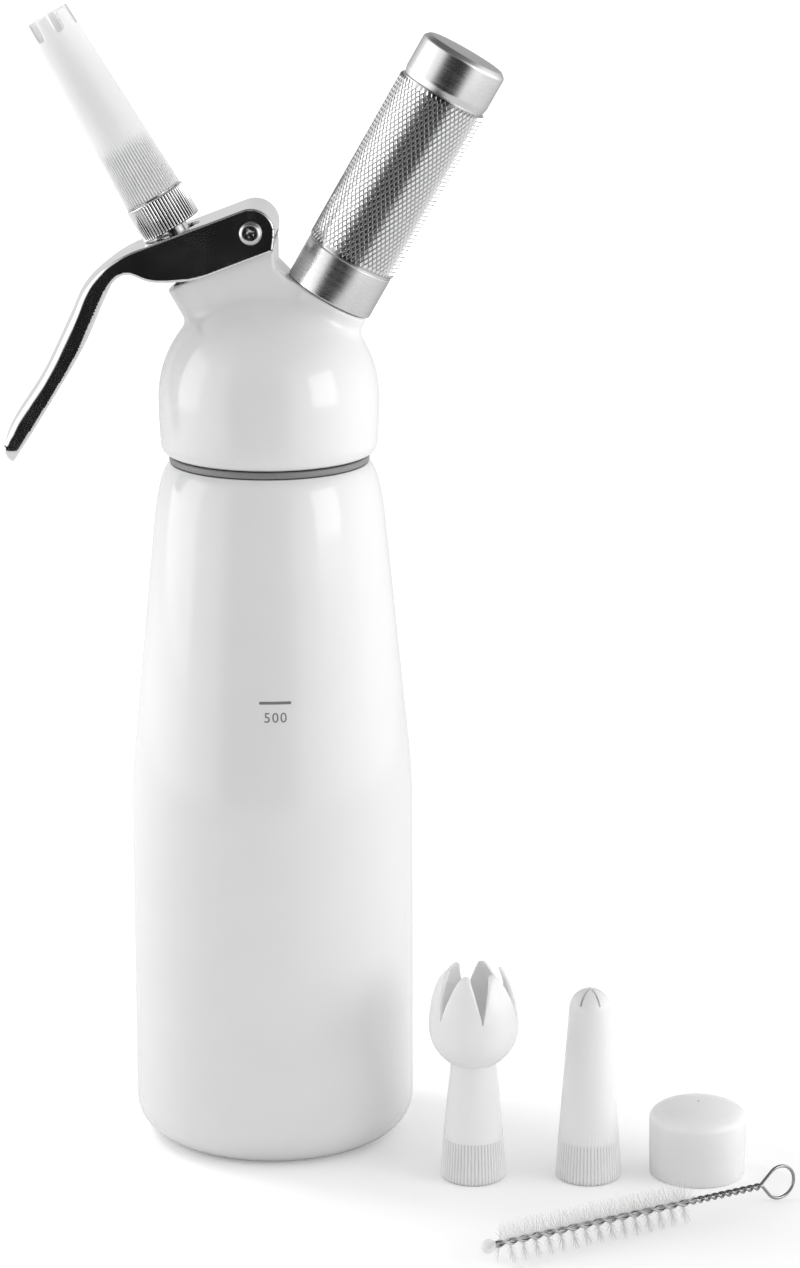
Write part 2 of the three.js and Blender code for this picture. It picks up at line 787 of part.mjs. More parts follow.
function dispensingPiston() {
  const guideTop = guideBottom + guideLength;
  const guideRadius = valveBoreRadius - runningGap;
  const grooveBottom = guideBottom + guideLength / 2 - oRingThickness / 2 - runningGap;
  const grooveTop = grooveBottom + oRingThickness + 2 * runningGap;
  const clipGrooveBottom = clipBottom - runningGap;
  const clipGrooveTop = clipBottom + clipThickness + runningGap;
  const outline = [
    [0, pistonBottom],
    [pistonHeadRadius, pistonBottom],
    [pistonHeadRadius, sealBottom - seatGap],
    [sealGrooveRadius, sealBottom - seatGap],
    [sealGrooveRadius, sealTop + seatGap],
    [pistonStemRadius, sealTop + seatGap],
    [pistonStemRadius, guideBottom],
    [guideRadius, guideBottom],
    [guideRadius, grooveBottom],
    [sealGrooveRadius, grooveBottom],
    [sealGrooveRadius, grooveTop],
    [guideRadius, grooveTop],
    [guideRadius, guideTop],
    [pistonShoulderRadius, guideTop],
    [pistonShoulderRadius, pistonShoulder],
    [pistonStemRadius, pistonShoulder],
    [pistonStemRadius, clipGrooveBottom],
    [threadStubRadius, clipGrooveBottom],
    [threadStubRadius, clipGrooveTop],
    [pistonStemRadius, clipGrooveTop],
    [pistonStemRadius, sealPocketTop - seatGap],
    [threadStubRadius, sealPocketTop - seatGap],
    [threadStubRadius, stubTop],
    [0, stubTop],
  ];
  const portHeight = (valveSeat + guideBottom) / 2;
  const port = cylinder(pistonPortRadius, -2 * pistonStemRadius, 2 * pistonStemRadius, finePinFacets);
  const tools = [
    cylinder(pistonBore, portHeight, stubTop + cutOverrun, smallFacets),
    port.rotateX(Math.PI / 2).translate(0, 0, portHeight),
  ];
  return cut(solidOf(turned(outline, smallFacets)), tools.map(solidOf));
}

function valveSeal() {
  return solidOf(ring(sealGrooveRadius + runningGap, valveSealRadius, sealBottom, sealTop, smallFacets));
}

// Round ring of rubber whose section just fits between two radii.
function oRing(inner, outer, middleHeight, thickness) {
  const middle = (inner + outer) / 2;
  const half = (outer - inner) / 2;
  const outline = [];
  for (let k = 0; k <= ringSectionSides; k++) {
    const angle = (2 * Math.PI * k) / ringSectionSides;
    outline.push([middle + half * Math.cos(angle), middleHeight + (thickness / 2) * Math.sin(angle)]);
  }
  outline[ringSectionSides] = [...outline[0]];
  return turned(outline, smallFacets);
}

function pistonORing() {
  const inner = sealGrooveRadius + runningGap;
  const outer = valveBoreRadius - runningGap / 2;
  return solidOf(oRing(inner, outer, guideBottom + guideLength / 2, oRingThickness));
}

function springPath() {
  const bottom = springFloor + seatGap;
  const tail = 2 * springWireRadius;
  const top = capBottom - seatGap;
  const coilHeight = top - bottom - 2 * tail;
  const steps = springTurns * springSteps;
  const path = [new THREE.Vector3(springRadius, 0, bottom)];
  for (let i = 0; i <= steps; i++) {
    const angle = (2 * Math.PI * i) / springSteps;
    const height = bottom + tail + (coilHeight * i) / steps;
    path.push(new THREE.Vector3(springRadius * Math.cos(angle), springRadius * Math.sin(angle), height));
  }
  path.push(path[path.length - 1].clone().setZ(top));
  return path;
}

// Least distance between the surfaces of turns that lie over each other.
function leastGap(path, radius, stepsApart) {
  const samples = [];
  for (let i = 0; i + 1 < path.length; i++) {
    for (let k = 0; k < 4; k++) samples.push(path[i].clone().lerp(path[i + 1], k / 4));
  }
  let least = Infinity;
  for (let i = 0; i < samples.length; i++) {
    for (let k = i + 4 * stepsApart; k < samples.length; k++) {
      least = Math.min(least, samples[i].distanceTo(samples[k]));
    }
  }
  return least - 2 * radius;
}

function valveSpring() {
  const path = springPath();
  const gap = leastGap(path, springWireRadius, springSteps / 2);
  console.log('valve spring, least gap to itself', gap.toFixed(2));
  return solidOf(tube(path, springWireRadius, springSides));
}

function springCap() {
  const rimInner = springRadius + springWireRadius + runningGap;
  const outline = [
    [pistonStemRadius + runningGap, capBottom],
    [rimInner, capBottom],
    [rimInner, capBottom - springCapRim],
    [springCapRadius, capBottom - springCapRim],
    [springCapRadius, capTop],
    [pistonStemRadius + runningGap, capTop],
    [pistonStemRadius + runningGap, capBottom],
  ];
  return solidOf(turned(outline));
}

function retainingClip() {
  const inner = threadStubRadius + runningGap;
  const whole = ring(inner, clipRadius, clipBottom, clipBottom + clipThickness, smallFacets);
  const mouth = box(2 * clipRadius, inner, 4 * clipThickness, [clipRadius, 0, clipBottom]);
  return solidOf(whole).subtract(solidOf(mouth));
}

function adapterSeal() {
  const inner = pistonStemRadius + runningGap;
  const middle = adapterBottom + runningGap + adapterSealThickness / 2;
  return solidOf(oRing(inner, inner + adapterSealThickness, middle, adapterSealThickness));
}

function nozzleAdapter() {
  const pocketRadius = pistonStemRadius + adapterSealThickness + 2 * runningGap;
  const top = adapterBottom + adapterHeight;
  const outline = [
    [pocketRadius, adapterBottom],
    [adapterRadius - adapterChamfer, adapterBottom],
    [adapterRadius, adapterBottom + adapterChamfer],
    [adapterRadius, top - adapterChamfer],
    [adapterRadius - adapterChamfer, top],
    [adapterStubRadius, top],
    [adapterStubRadius, top + adapterStubHeight],
    [adapterBore, top + adapterStubHeight],
    [adapterBore, stubTop + seatGap],
    [threadStubRadius + threadGap, stubTop + seatGap],
    [threadStubRadius + threadGap, sealPocketTop],
    [pocketRadius, sealPocketTop],
    [pocketRadius, adapterBottom],
  ];
  return solidOf(turned(outline));
}

function crownTip() {
  const socket = adapterStubRadius + seatGap;
  const socketTop = tipBottom + adapterStubHeight + seatGap;
  const end = tipBottom + crownTipLength;
  const outline = [
    [socket, tipBottom],
    [tipBaseRadius, tipBottom],
    [crownTipEndRadius, end],
    [crownTipEndRadius - tipWall, end],
    [socket - tipWall, socketTop],
    [socket, socketTop],
    [socket, tipBottom],
  ];
  const slots = [];
  for (let k = 0; k < crownSlots; k++) {
    const slot = box(2 * crownTipEndRadius, crownSlotWidth, 2 * crownSlotDepth, [crownTipEndRadius, 0, end]);
    slots.push(slot.rotateZ((2 * Math.PI * k) / crownSlots));
  }
  return cut(solidOf(turned(outline)), slots.map(solidOf));
}

// Common foot of the spare tips: outline from the socket's floor down and round to the outside.
function spareTipFoot() {
  return [
    [spareTipSocketRadius - tipWall, spareTipSocketDepth],
    [spareTipSocketRadius, spareTipSocketDepth],
    [spareTipSocketRadius, 0],
    [spareTipBaseRadius, 0],
  ];
}

// Half of a bulb's outline, from the neck over the widest place to the mouth: a sphere below,
// drawn out upward to the height at which it is as narrow as the mouth.
function bulbOutline(bulb, neck, mouth) {
  const low = -Math.acos(neck / bulb);
  const high = Math.acos(mouth / bulb);
  const stretch = (tulipHeight - tulipBulbHeight) / (bulb * Math.sin(high));
  const points = [];
  for (let i = 0; i <= 4; i++) {
    const angle = (low * (4 - i)) / 4;
    points.push([bulb * Math.cos(angle), tulipBulbHeight + bulb * Math.sin(angle)]);
  }
  for (let i = 1; i <= 4; i++) {
    const angle = (high * i) / 4;
    points.push([bulb * Math.cos(angle), tulipBulbHeight + stretch * bulb * Math.sin(angle)]);
  }
  return points;
}

function tulipTip() {
  const start = spareTipFoot();
  const inside = bulbOutline(
    tulipBulbRadius - tipWall,
    tulipNeckRadius - tipWall,
    tulipMouthRadius - tipWall,
  );
  const outline = [
    ...start,
    ...bulbOutline(tulipBulbRadius, tulipNeckRadius, tulipMouthRadius),
    ...inside.reverse(),
    start[0],
  ];
  const halfCut = (tulipCutShare * Math.PI * tulipMouthRadius) / tulipPetals;
  const slant = halfCut / tulipCutDepth;
  const wedges = [];
  for (let k = 0; k < tulipPetals; k++) {
    const wedge = new THREE.Shape();
    wedge.moveTo(0, tulipHeight - tulipCutDepth);
    wedge.lineTo(halfCut + slant * cutOverrun, tulipHeight + cutOverrun);
    wedge.lineTo(-halfCut - slant * cutOverrun, tulipHeight + cutOverrun);
    const settings = { depth: 2 * tulipBulbRadius, bevelEnabled: false };
    const tool = new THREE.ExtrudeGeometry(wedge, settings).rotateX(Math.PI / 2);
    const turn = THREE.MathUtils.degToRad(tulipTurn) + (2 * Math.PI * k) / tulipPetals;
    wedges.push(tool.rotateZ(turn));
  }
  return cut(solidOf(turned(outline)), wedges.map(solidOf));
}

function straightTip() {
  const start = spareTipFoot();
  const inner = straightShoulderRadius - tipWall;
  const crownControl = [straightShoulderRadius - tipWall / 2, straightHeight];
  const outline = [
    ...start,
    ...bend([straightShoulderRadius, straightShoulderHeight], crownControl, [0, straightHeight], 4),
    ...bend(
      [0, straightHeight - tipWall],
      [inner, straightHeight - tipWall],
      [inner, straightShoulderHeight],
      3,
    ),
    start[0],
  ];
  const slots = [];
  for (let k = 0; k < starSlots; k++) {
    const slot = box(2 * straightShoulderRadius, starSlotWidth, 2 * starSlotDepth, [0, 0, straightHeight]);
    slots.push(slot.rotateZ((Math.PI * k) / starSlots));
  }
  return cut(solidOf(turned(outline)), slots.map(solidOf));
}

function protectiveCap() {
  const shoulder = capHeight - capCrown;
  const inner = capRadius - capWall;
  const outline = [
    [inner, 0],
    [capRadius, 0],
    [capRadius, shoulder - capEdgeRounding],
    [capRadius - capEdgeRounding / 2, shoulder],
    ...bend(
      [capRadius - capEdgeRounding, shoulder + capEdgeRounding / 3],
      [capRadius / 2, capHeight],
      [0, capHeight],
      4,
    ),
    [0, capHeight - capWall],
    [inner, shoulder - capWall],
    [inner, 0],
  ];
  const vent = cylinder(capVentRadius, shoulder, capHeight + cutOverrun, finePinFacets);
  return solidOf(turned(outline)).subtract(solidOf(vent));
}

function gasCharger() {
  const neckTopHeight = chargerBottom + chargerNeckLength;
  const bodyBottom = neckTopHeight + chargerShoulderLength;
  const bodyTop = chargerTop - chargerEndRounding;
  const inner = chargerRadius - chargerWall;
  const outline = [
    [chargerMouthRadius, chargerBottom],
    [chargerNeckRadius, chargerBottom],
    [chargerNeckRadius, neckTopHeight],
    ...bend(
      [chargerNeckRadius + chargerWall / 2, neckTopHeight + chargerWall],
      [chargerRadius, neckTopHeight + chargerShoulderLength / 3],
      [chargerRadius, bodyBottom],
      3,
    ),
    ...bend([chargerRadius, bodyTop], [chargerRadius, chargerTop], [0, chargerTop], 4),
    ...bend(
      [0, chargerTop - chargerWall],
      [inner, chargerTop - chargerWall],
      [inner, bodyTop],
      3,
    ),
    [inner, bodyBottom],
    [chargerNeckRadius - chargerWall, neckTopHeight],
    [chargerNeckRadius - chargerWall, chargerBottom + chargerWall],
    [chargerMouthRadius, chargerBottom + chargerWall],
    [chargerMouthRadius, chargerBottom],
  ];
  return solidOf(turned(outline));
}

function chargerHolder() {
  const collarTop = holderBottom + collarLength;
  const knurlBottom = collarTop + grooveWidth;
  const knurlTop = knurlBottom + knurlLength;
  const threadTop = spigotTop + seatGap;
  const bore = chargerRadius + threadGap;
  const outline = [
    [holderThreadRadius, holderBottom],
    [collarRadius, holderBottom],
    [collarRadius, collarTop],
    [collarRadius - grooveDepth, collarTop],
    [collarRadius - grooveDepth, knurlBottom],
    [knurlRadius, knurlBottom],
    [knurlRadius, knurlTop - grooveDepth],
    [holderCapRadius, knurlTop],
    [holderCapRadius, holderTop - holderCapRounding],
    ...arc(holderCapRounding, holderCapRadius - holderCapRounding, holderTop - holderCapRounding, 0, 90, 2),
    [0, holderTop],
    [0, holderTop - holderEndWall],
    [bore, holderTop - holderEndWall],
    [bore, threadTop],
    [holderThreadRadius, threadTop],
    [holderThreadRadius, holderBottom],
  ];
  const thread = threadRidge({
    root: holderThreadRadius,
    depth: -chargerThreadDepth,
    pitch: chargerThreadPitch,
    turns: chargerThreadTurns,
    width: chargerThreadWidth - seatGap,
    start: chargerBossTop + chargerThreadStart + chargerThreadPitch / 2,
    facets: fineThreadFacets,
  });
  return joined([turned(outline), thread].map(solidOf));
}

function piercingValveBody() {
  const groove = piercingBodyRadius - piercingSealThickness / 2;
  const grooveBottom = piercingBodyBottom + piercingSealThickness;
  const grooveTop = grooveBottom + piercingSealThickness + 2 * runningGap;
  const outline = [
    [piercingBodyBore, piercingBodyBottom],
    [piercingBodyRadius, piercingBodyBottom],
    [piercingBodyRadius, grooveBottom],
    [groove - runningGap, grooveBottom],
    [groove - runningGap, grooveTop],
    [piercingBodyRadius, grooveTop],
    [piercingBodyRadius, piercingBodyTop],
    [piercingBodyBore, piercingBodyTop],
    [piercingBodyBore, piercingBodyBottom],
  ];
  return solidOf(turned(outline, smallFacets));
}

function piercingValveORing() {
  const inner = piercingBodyRadius - piercingSealThickness / 2;
  const outer = spigotBoreRadius - runningGap / 2;
  const middle = piercingBodyBottom + piercingSealThickness * 1.5 + runningGap;
  return solidOf(oRing(inner, outer, middle, piercingSealThickness));
}

function piercingPin() {
  const tip = chargerBottom + piercingReach;
  const bottom = tip - piercingPinLength;
  const foot = piercingBodyBore - runningGap;
  const outline = [
    [0, bottom],
    [foot, bottom],
    [foot, piercingBodyTop - seatGap],
    [piercingPinRadius, piercingBodyTop],
    [piercingPinRadius, tip - piercingPinRadius],
    [0, tip],
  ];
  return solidOf(turned(outline, pinFacets));
}

function chargerGasket() {
  const bottom = piercingBodyTop + seatGap;
  const top = bottom + chargerGasketThickness;
  return solidOf(ring(chargerGasketBore, spigotBoreRadius - runningGap, bottom, top, smallFacets));
}

// The brush is built along +X from the bead's middle, with its axis at the height where the
// bristles stand on their flat.
const brushHeight = bristleReach - restCut;

function alongX(geometry) {
  return geometry.rotateY(Math.PI / 2).translate(0, 0, brushHeight);
}

function brushWire() {
  const loop = [];
  for (let i = 0; i <= brushLoopSteps; i++) {
    const angle = Math.PI + (2 * Math.PI * i) / brushLoopSteps;
    loop.push(
      new THREE.Vector3(
        brushLength + brushLoopRadius * Math.cos(angle),
        0,
        brushHeight + brushLoopRadius * Math.sin(angle),
      ),
    );
  }
  const halves = [loop.slice(0, brushLoopSteps / 2 + 2), loop.slice(brushLoopSteps / 2)];
  const rodEnd = brushLength - brushLoopRadius + brushLoopWire;
  return joined([
    solidOf(alongX(cylinder(brushCoreRadius, brushBeadRadius / 4, rodEnd, finePinFacets))),
    ...halves.map((half) => solidOf(tube(half, brushLoopWire, brushLoopSides))),
  ]);
}

function brushBead() {
  const bore = alongX(cylinder(brushCoreRadius + runningGap, 0, 2 * brushBeadRadius, finePinFacets));
  const ball = new THREE.SphereGeometry(brushBeadRadius, beadFacets, beadFacets / 2 + 1);
  return solidOf(ball.translate(0, 0, brushHeight)).subtract(solidOf(bore));
}

// One bristle: a thin spike from inside the sleeve's wall straight out.
function bristleStrand(distance, angle) {
  const root = brushCoreRadius + runningGap + brushSleeveWall / 2;
  const length = bristleReach - root;
  const spike = new THREE.ConeGeometry(bristleThickness / 2, length, 3);
  return spike.translate(distance, root + length / 2, 0).rotateX(angle).translate(0, 0, brushHeight);
}

function brushBristles() {
  const inner = brushCoreRadius + runningGap;
  const outer = inner + brushSleeveWall;
  const sleeve = alongX(ring(inner, outer, bristleStart, bristleStart + bristleZone, bristleSpokes));
  const strands = [];
  for (let i = 0; i < bristleStations; i++) {
    const share = (i + 0.5) / bristleStations;
    const angle = (2 * Math.PI * (i + 0.5)) / bristleSpokes;
    for (const half of [0, Math.PI]) {
      strands.push(solidOf(bristleStrand(bristleStart + bristleZone * share, angle + half)));
    }
  }
  const floor = box(3 * brushLength, 4 * bristleReach, bristleReach, [brushLength, 0, -bristleReach / 2]);
  return joined([solidOf(sleeve), wasm.Manifold.union(strands)]).subtract(solidOf(floor));
}

// Finishes
const finishes = {
  whiteEnamel: { color: 0xf1f1ef, roughness: 0.18, metalness: 0 },
  greySilicone: { color: 0x8c8c8c, roughness: 0.55, metalness: 0 },
  chrome: { color: 0xc9cacc, roughness: 0.08, metalness: 1 },
  aluminium: { color: 0xc4c5c7, roughness: 0.3, metalness: 1 },
  steel: { color: 0xa9abae, roughness: 0.3, metalness: 1 },
  springSteel: { color: 0x7d7f82, roughness: 0.3, metalness: 1 },
  brass: { color: 0xb59a55, roughness: 0.35, metalness: 1 },
  blackRubber: { color: 0x222222, roughness: 0.7, metalness: 0 },
  frostedPlastic: { color: 0xf4f5f5, roughness: 0.45, metalness: 0 },
  whitePlastic: { color: 0xf3f3f1, roughness: 0.35, metalness: 0 },
  nylon: { color: 0xf6f6f6, roughness: 0.4, metalness: 0 },
};

function piece(name, solid, finish) {
  const mesh = new THREE.Mesh(geometryOf(solid), new THREE.MeshStandardMaterial(finishes[finish]));
  mesh.name = name;
  return mesh;
}

function groupAt(frame, meshes) {
  const group = new THREE.Group();
  group.applyMatrix4(frame);
  group.add(...meshes);
  return group;
}

function onTable([x, y], meshes, yaw = 0) {
  const frame = new THREE.Matrix4().makeRotationZ(THREE.MathUtils.degToRad(yaw)).setPosition(x, y, 0);
  return groupAt(frame, meshes);
}

const pivotFrame = new THREE.Matrix4().makeRotationX(Math.PI / 2).setPosition(pivot.x, 0, pivot.y);

const dispenser = new THREE.Group();
dispenser.add(
  piece('bottle', bottle(), 'whiteEnamel'),
  piece('head_gasket', headGasket(), 'greySilicone'),
  piece('head', head(), 'whiteEnamel'),
  piece('lever', lever(), 'chrome'),
  piece('pivot_sleeve', pivotSleeve(), 'steel'),
  groupAt(pivotFrame, [
    piece('pivot_screw', pivotScrew(), 'steel'),
    piece('pivot_nut', pivotNut(), 'steel'),
  ]),
  groupAt(valveFrame, [
    piece('dispensing_piston', dispensingPiston(), 'steel'),
    piece('valve_seal', valveSeal(), 'blackRubber'),
    piece('piston_o_ring', pistonORing(), 'blackRubber'),
    piece('valve_spring', valveSpring(), 'springSteel'),
    piece('spring_cap', springCap(), 'steel'),
    piece('retaining_clip', retainingClip(), 'springSteel'),
    piece('adapter_seal', adapterSeal(), 'blackRubber'),
    piece('nozzle_adapter', nozzleAdapter(), 'chrome'),
    piece('crown_tip', crownTip(), 'frostedPlastic'),
  ]),
  groupAt(chargerFrame, [
    piece('piercing_valve_body', piercingValveBody(), 'brass'),
    piece('piercing_valve_o_ring', piercingValveORing(), 'blackRubber'),
    piece('piercing_pin', piercingPin(), 'steel'),
    piece('charger_gasket', chargerGasket(), 'blackRubber'),
    piece('gas_charger', gasCharger(), 'steel'),
    piece('charger_holder', chargerHolder(), 'aluminium'),
  ]),
  onTable(tulipPlace, [piece('tulip_tip', tulipTip(), 'whitePlastic')]),
  onTable(straightPlace, [piece('straight_tip', straightTip(), 'whitePlastic')]),
  onTable(capPlace, [piece('protective_cap', protectiveCap(), 'whitePlastic')]),
  onTable(
    brushBeadPlace,
    [
      piece('brush_wire', brushWire(), 'steel'),
      piece('brush_bristles', brushBristles(), 'nylon'),
      piece('brush_bead', brushBead(), 'nylon'),
    ],
    brushYaw,
  ),
);

export default dispenser;
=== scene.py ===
"""Looks of a whipped cream dispenser with its spare tips, protective cap and cleaning brush.

Sizes are in millimetres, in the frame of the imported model: +Z up, the bottle's axis on the origin,
+X towards the gas charger, -Y towards the side with the fill mark. A mesh is built on the axis of
its own piece and is turned into metres when it is put in its place.
"""

import logging
import math
from collections.abc import Callable, Sequence
from dataclasses import dataclass, field
from enum import Enum

import bmesh
import bpy
import numpy as np
from mathutils import Matrix, Vector


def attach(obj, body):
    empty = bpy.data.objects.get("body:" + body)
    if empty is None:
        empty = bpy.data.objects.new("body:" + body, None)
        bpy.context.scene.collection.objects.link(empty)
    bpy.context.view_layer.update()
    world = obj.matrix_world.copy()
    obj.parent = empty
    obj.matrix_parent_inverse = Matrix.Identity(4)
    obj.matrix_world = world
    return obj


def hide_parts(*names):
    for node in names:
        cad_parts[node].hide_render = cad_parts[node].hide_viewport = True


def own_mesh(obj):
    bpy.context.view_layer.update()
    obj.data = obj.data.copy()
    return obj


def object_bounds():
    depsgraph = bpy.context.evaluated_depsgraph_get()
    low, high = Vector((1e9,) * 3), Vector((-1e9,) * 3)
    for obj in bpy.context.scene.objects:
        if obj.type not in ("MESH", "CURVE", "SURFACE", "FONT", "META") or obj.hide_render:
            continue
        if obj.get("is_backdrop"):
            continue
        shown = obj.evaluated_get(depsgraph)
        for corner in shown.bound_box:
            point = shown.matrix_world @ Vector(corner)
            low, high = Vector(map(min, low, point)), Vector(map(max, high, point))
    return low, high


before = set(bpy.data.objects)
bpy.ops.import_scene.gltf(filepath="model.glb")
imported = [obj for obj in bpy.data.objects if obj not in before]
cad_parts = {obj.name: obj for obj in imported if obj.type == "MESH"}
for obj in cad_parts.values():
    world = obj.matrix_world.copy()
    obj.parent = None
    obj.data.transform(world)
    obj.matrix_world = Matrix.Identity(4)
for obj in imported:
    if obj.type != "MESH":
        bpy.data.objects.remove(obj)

LOG = logging.getLogger("dispenser")
CAD_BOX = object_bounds()
METRES = 0.001
ON_AXIS = 1e-6
FULL_TURN = 2 * math.pi

# A place or a size, or a corner of an outline: radius, height and, if it is rounded, the reach.
Corner = tuple[float, ...]
# What feeds a node's input: another node's socket or a plain value.
Wire = object
# Gives one number for each of many points or angles.
Rule = Callable[[np.ndarray], np.ndarray]


@dataclass(frozen=True)
class Placement:
    """Where the axis of a piece stands.

    Attributes:
        origin: point on the axis, in millimetres.
        tilt: lean of the axis from +Z towards +X, in degrees.
        yaw: turn about +Z, in degrees.
    """

    origin: tuple[float, float, float] = (0.0, 0.0, 0.0)
    tilt: float = 0.0
    yaw: float = 0.0

    def turn(self) -> Matrix:
        """Rotation from the piece's own axes to the object's."""
        yaw = Matrix.Rotation(math.radians(self.yaw), 4, "Z")
        return yaw @ Matrix.Rotation(math.radians(self.tilt), 4, "Y")

    def matrix(self) -> Matrix:
        """Transform from millimetres on the piece's own axes to metres in the object's frame."""
        place = Matrix.Translation(Vector(self.origin) * METRES)
        return place @ self.turn() @ Matrix.Scale(METRES, 4)

    def foot(self) -> np.ndarray:
        """The axis's origin in the plane of X and Z."""
        return np.array(self.origin[::2])

    def direction(self) -> np.ndarray:
        """Direction of the axis in the plane of X and Z."""
        lean = math.radians(self.tilt)
        return np.array([math.sin(lean), math.cos(lean)])

    def local(self, points: np.ndarray) -> tuple[np.ndarray, np.ndarray]:
        """How far (n, 3) points of the object lie from the axis, seen from the front, and along it."""
        sine, cosine = self.direction()
        x, z = points[:, 0] - self.origin[0], points[:, 2] - self.origin[2]
        return x * cosine - z * sine, x * sine + z * cosine


UPRIGHT = Placement()
VALVE_AXIS = Placement((0.0, 0.0, 205.6), tilt=-30.0)
CHARGER_AXIS = Placement((0.0, 0.0, 202.85), tilt=29.6)
HINGE_AXIS = Placement((-3.7, 0.0, 249.0), tilt=90.0, yaw=-90.0)
TULIP_PLACE = Placement((55.0, -38.7, 0.0))
STRAIGHT_PLACE = Placement((85.7, -37.8, 0.0))
CAP_PLACE = Placement((114.9, -34.4, 0.0))
BRUSH_PLACE = Placement((59.3, -99.9, 5.4), tilt=90.0, yaw=30.5)


class Graph:
    """Node tree under construction."""

    def __init__(self, tree: bpy.types.NodeTree) -> None:
        """Start from a tree that may already hold nodes."""
        self.tree = tree

    def node(self, kind: str, wires: dict | None = None, **settings: object) -> bpy.types.Node:
        """Add a node, set its properties and feed its inputs.

        Args:
            kind: type name of the node.
            wires: for an input's name or number, a socket to link or a plain value.
            **settings: properties of the node.

        Returns:
            The new node.
        """
        node = self.tree.nodes.new(kind)
        for key, value in settings.items():
            setattr(node, key, value)
        for key, value in (wires or {}).items():
            if isinstance(value, bpy.types.NodeSocket):
                self.tree.links.new(value, node.inputs[key])
            else:
                node.inputs[key].default_value = value
        return node

    def math(self, operation: str, *values: Wire) -> bpy.types.NodeSocket:
        """Result of one Math node on the given values."""
        return self.node("ShaderNodeMath", dict(enumerate(values)), operation=operation).outputs[0]

    def vector(self, operation: str, *values: Wire) -> bpy.types.NodeSocket:
        """Vector result of one Vector Math node on the given values."""
        wires = dict(enumerate(values))
        return self.node("ShaderNodeVectorMath", wires, operation=operation).outputs[0]

    def product(self, first: Wire, *others: Wire) -> Wire:
        """Product of several values."""
        for other in others:
            first = self.math("MULTIPLY", first, other)
        return first

    def measure(self, operation: str, *vectors: Wire) -> bpy.types.NodeSocket:
        """Number that one Vector Math node gives for the vectors."""
        wires = dict(enumerate(vectors))
        return self.node("ShaderNodeVectorMath", wires, operation=operation).outputs["Value"]

    def parts(self, vector: Wire) -> bpy.types.bpy_prop_collection:
        """X, Y and Z of a vector."""
        return self.node("ShaderNodeSeparateXYZ", {0: vector}).outputs

    def joined(self, x: Wire, y: Wire, z: Wire) -> bpy.types.NodeSocket:
        """Vector of three values."""
        return self.node("ShaderNodeCombineXYZ", {0: x, 1: y, 2: z}).outputs[0]

    def ramp(
        self, value: Wire, low: float, high: float, start: Wire = 0.0, end: Wire = 1.0,
    ) -> bpy.types.NodeSocket:
        """Value carried smoothly from the range low..high to start..end."""
        wires = {0: value, 1: low, 2: high, 3: start, 4: end}
        node = self.node("ShaderNodeMapRange", wires, interpolation_type="SMOOTHSTEP")
        return node.outputs[0]

    def mix(self, share: Wire, colour: Wire, other: Wire) -> bpy.types.NodeSocket:
        """Colour between two others."""
        wires = {0: share, 6: colour, 7: other}
        return self.node("ShaderNodeMix", wires, data_type="RGBA").outputs[2]

    def noise(self, vector: Wire, scale: Wire, detail: float = 2.0) -> bpy.types.NodeSocket:
        """Noise between 0 and 1 at the vector."""
        wires = {"Vector": vector, "Scale": scale, "Detail": detail}
        return self.node("ShaderNodeTexNoise", wires).outputs[0]


def new_group(name: str, kind: str, inputs: dict, outputs: dict) -> tuple[Graph, object, object]:
    """Make a node group with named sockets.

    Args:
        name: name of the group.
        kind: type name of the tree.
        inputs: for each input's name, its socket type and its first value or None.
        outputs: for each output's name, its socket type.

    Returns:
        The group's graph, the sockets that bring its inputs in and those that take its outputs.
    """
    tree = bpy.data.node_groups.new(name, kind)
    for label, (socket, value) in inputs.items():
        item = tree.interface.new_socket(label, in_out="INPUT", socket_type=socket)
        if value is not None:
            item.default_value = value
    for label, socket in outputs.items():
        tree.interface.new_socket(label, in_out="OUTPUT", socket_type=socket)
    graph = Graph(tree)
    return graph, graph.node("NodeGroupInput").outputs, graph.node("NodeGroupOutput").inputs


FLOAT = "NodeSocketFloat"
WHOLE = "NodeSocketInt"
VECTOR = "NodeSocketVector"
COLOUR = "NodeSocketColor"
GEOMETRY = "NodeSocketGeometry"
OBJECT = "NodeSocketObject"
MATERIAL = "NodeSocketMaterial"


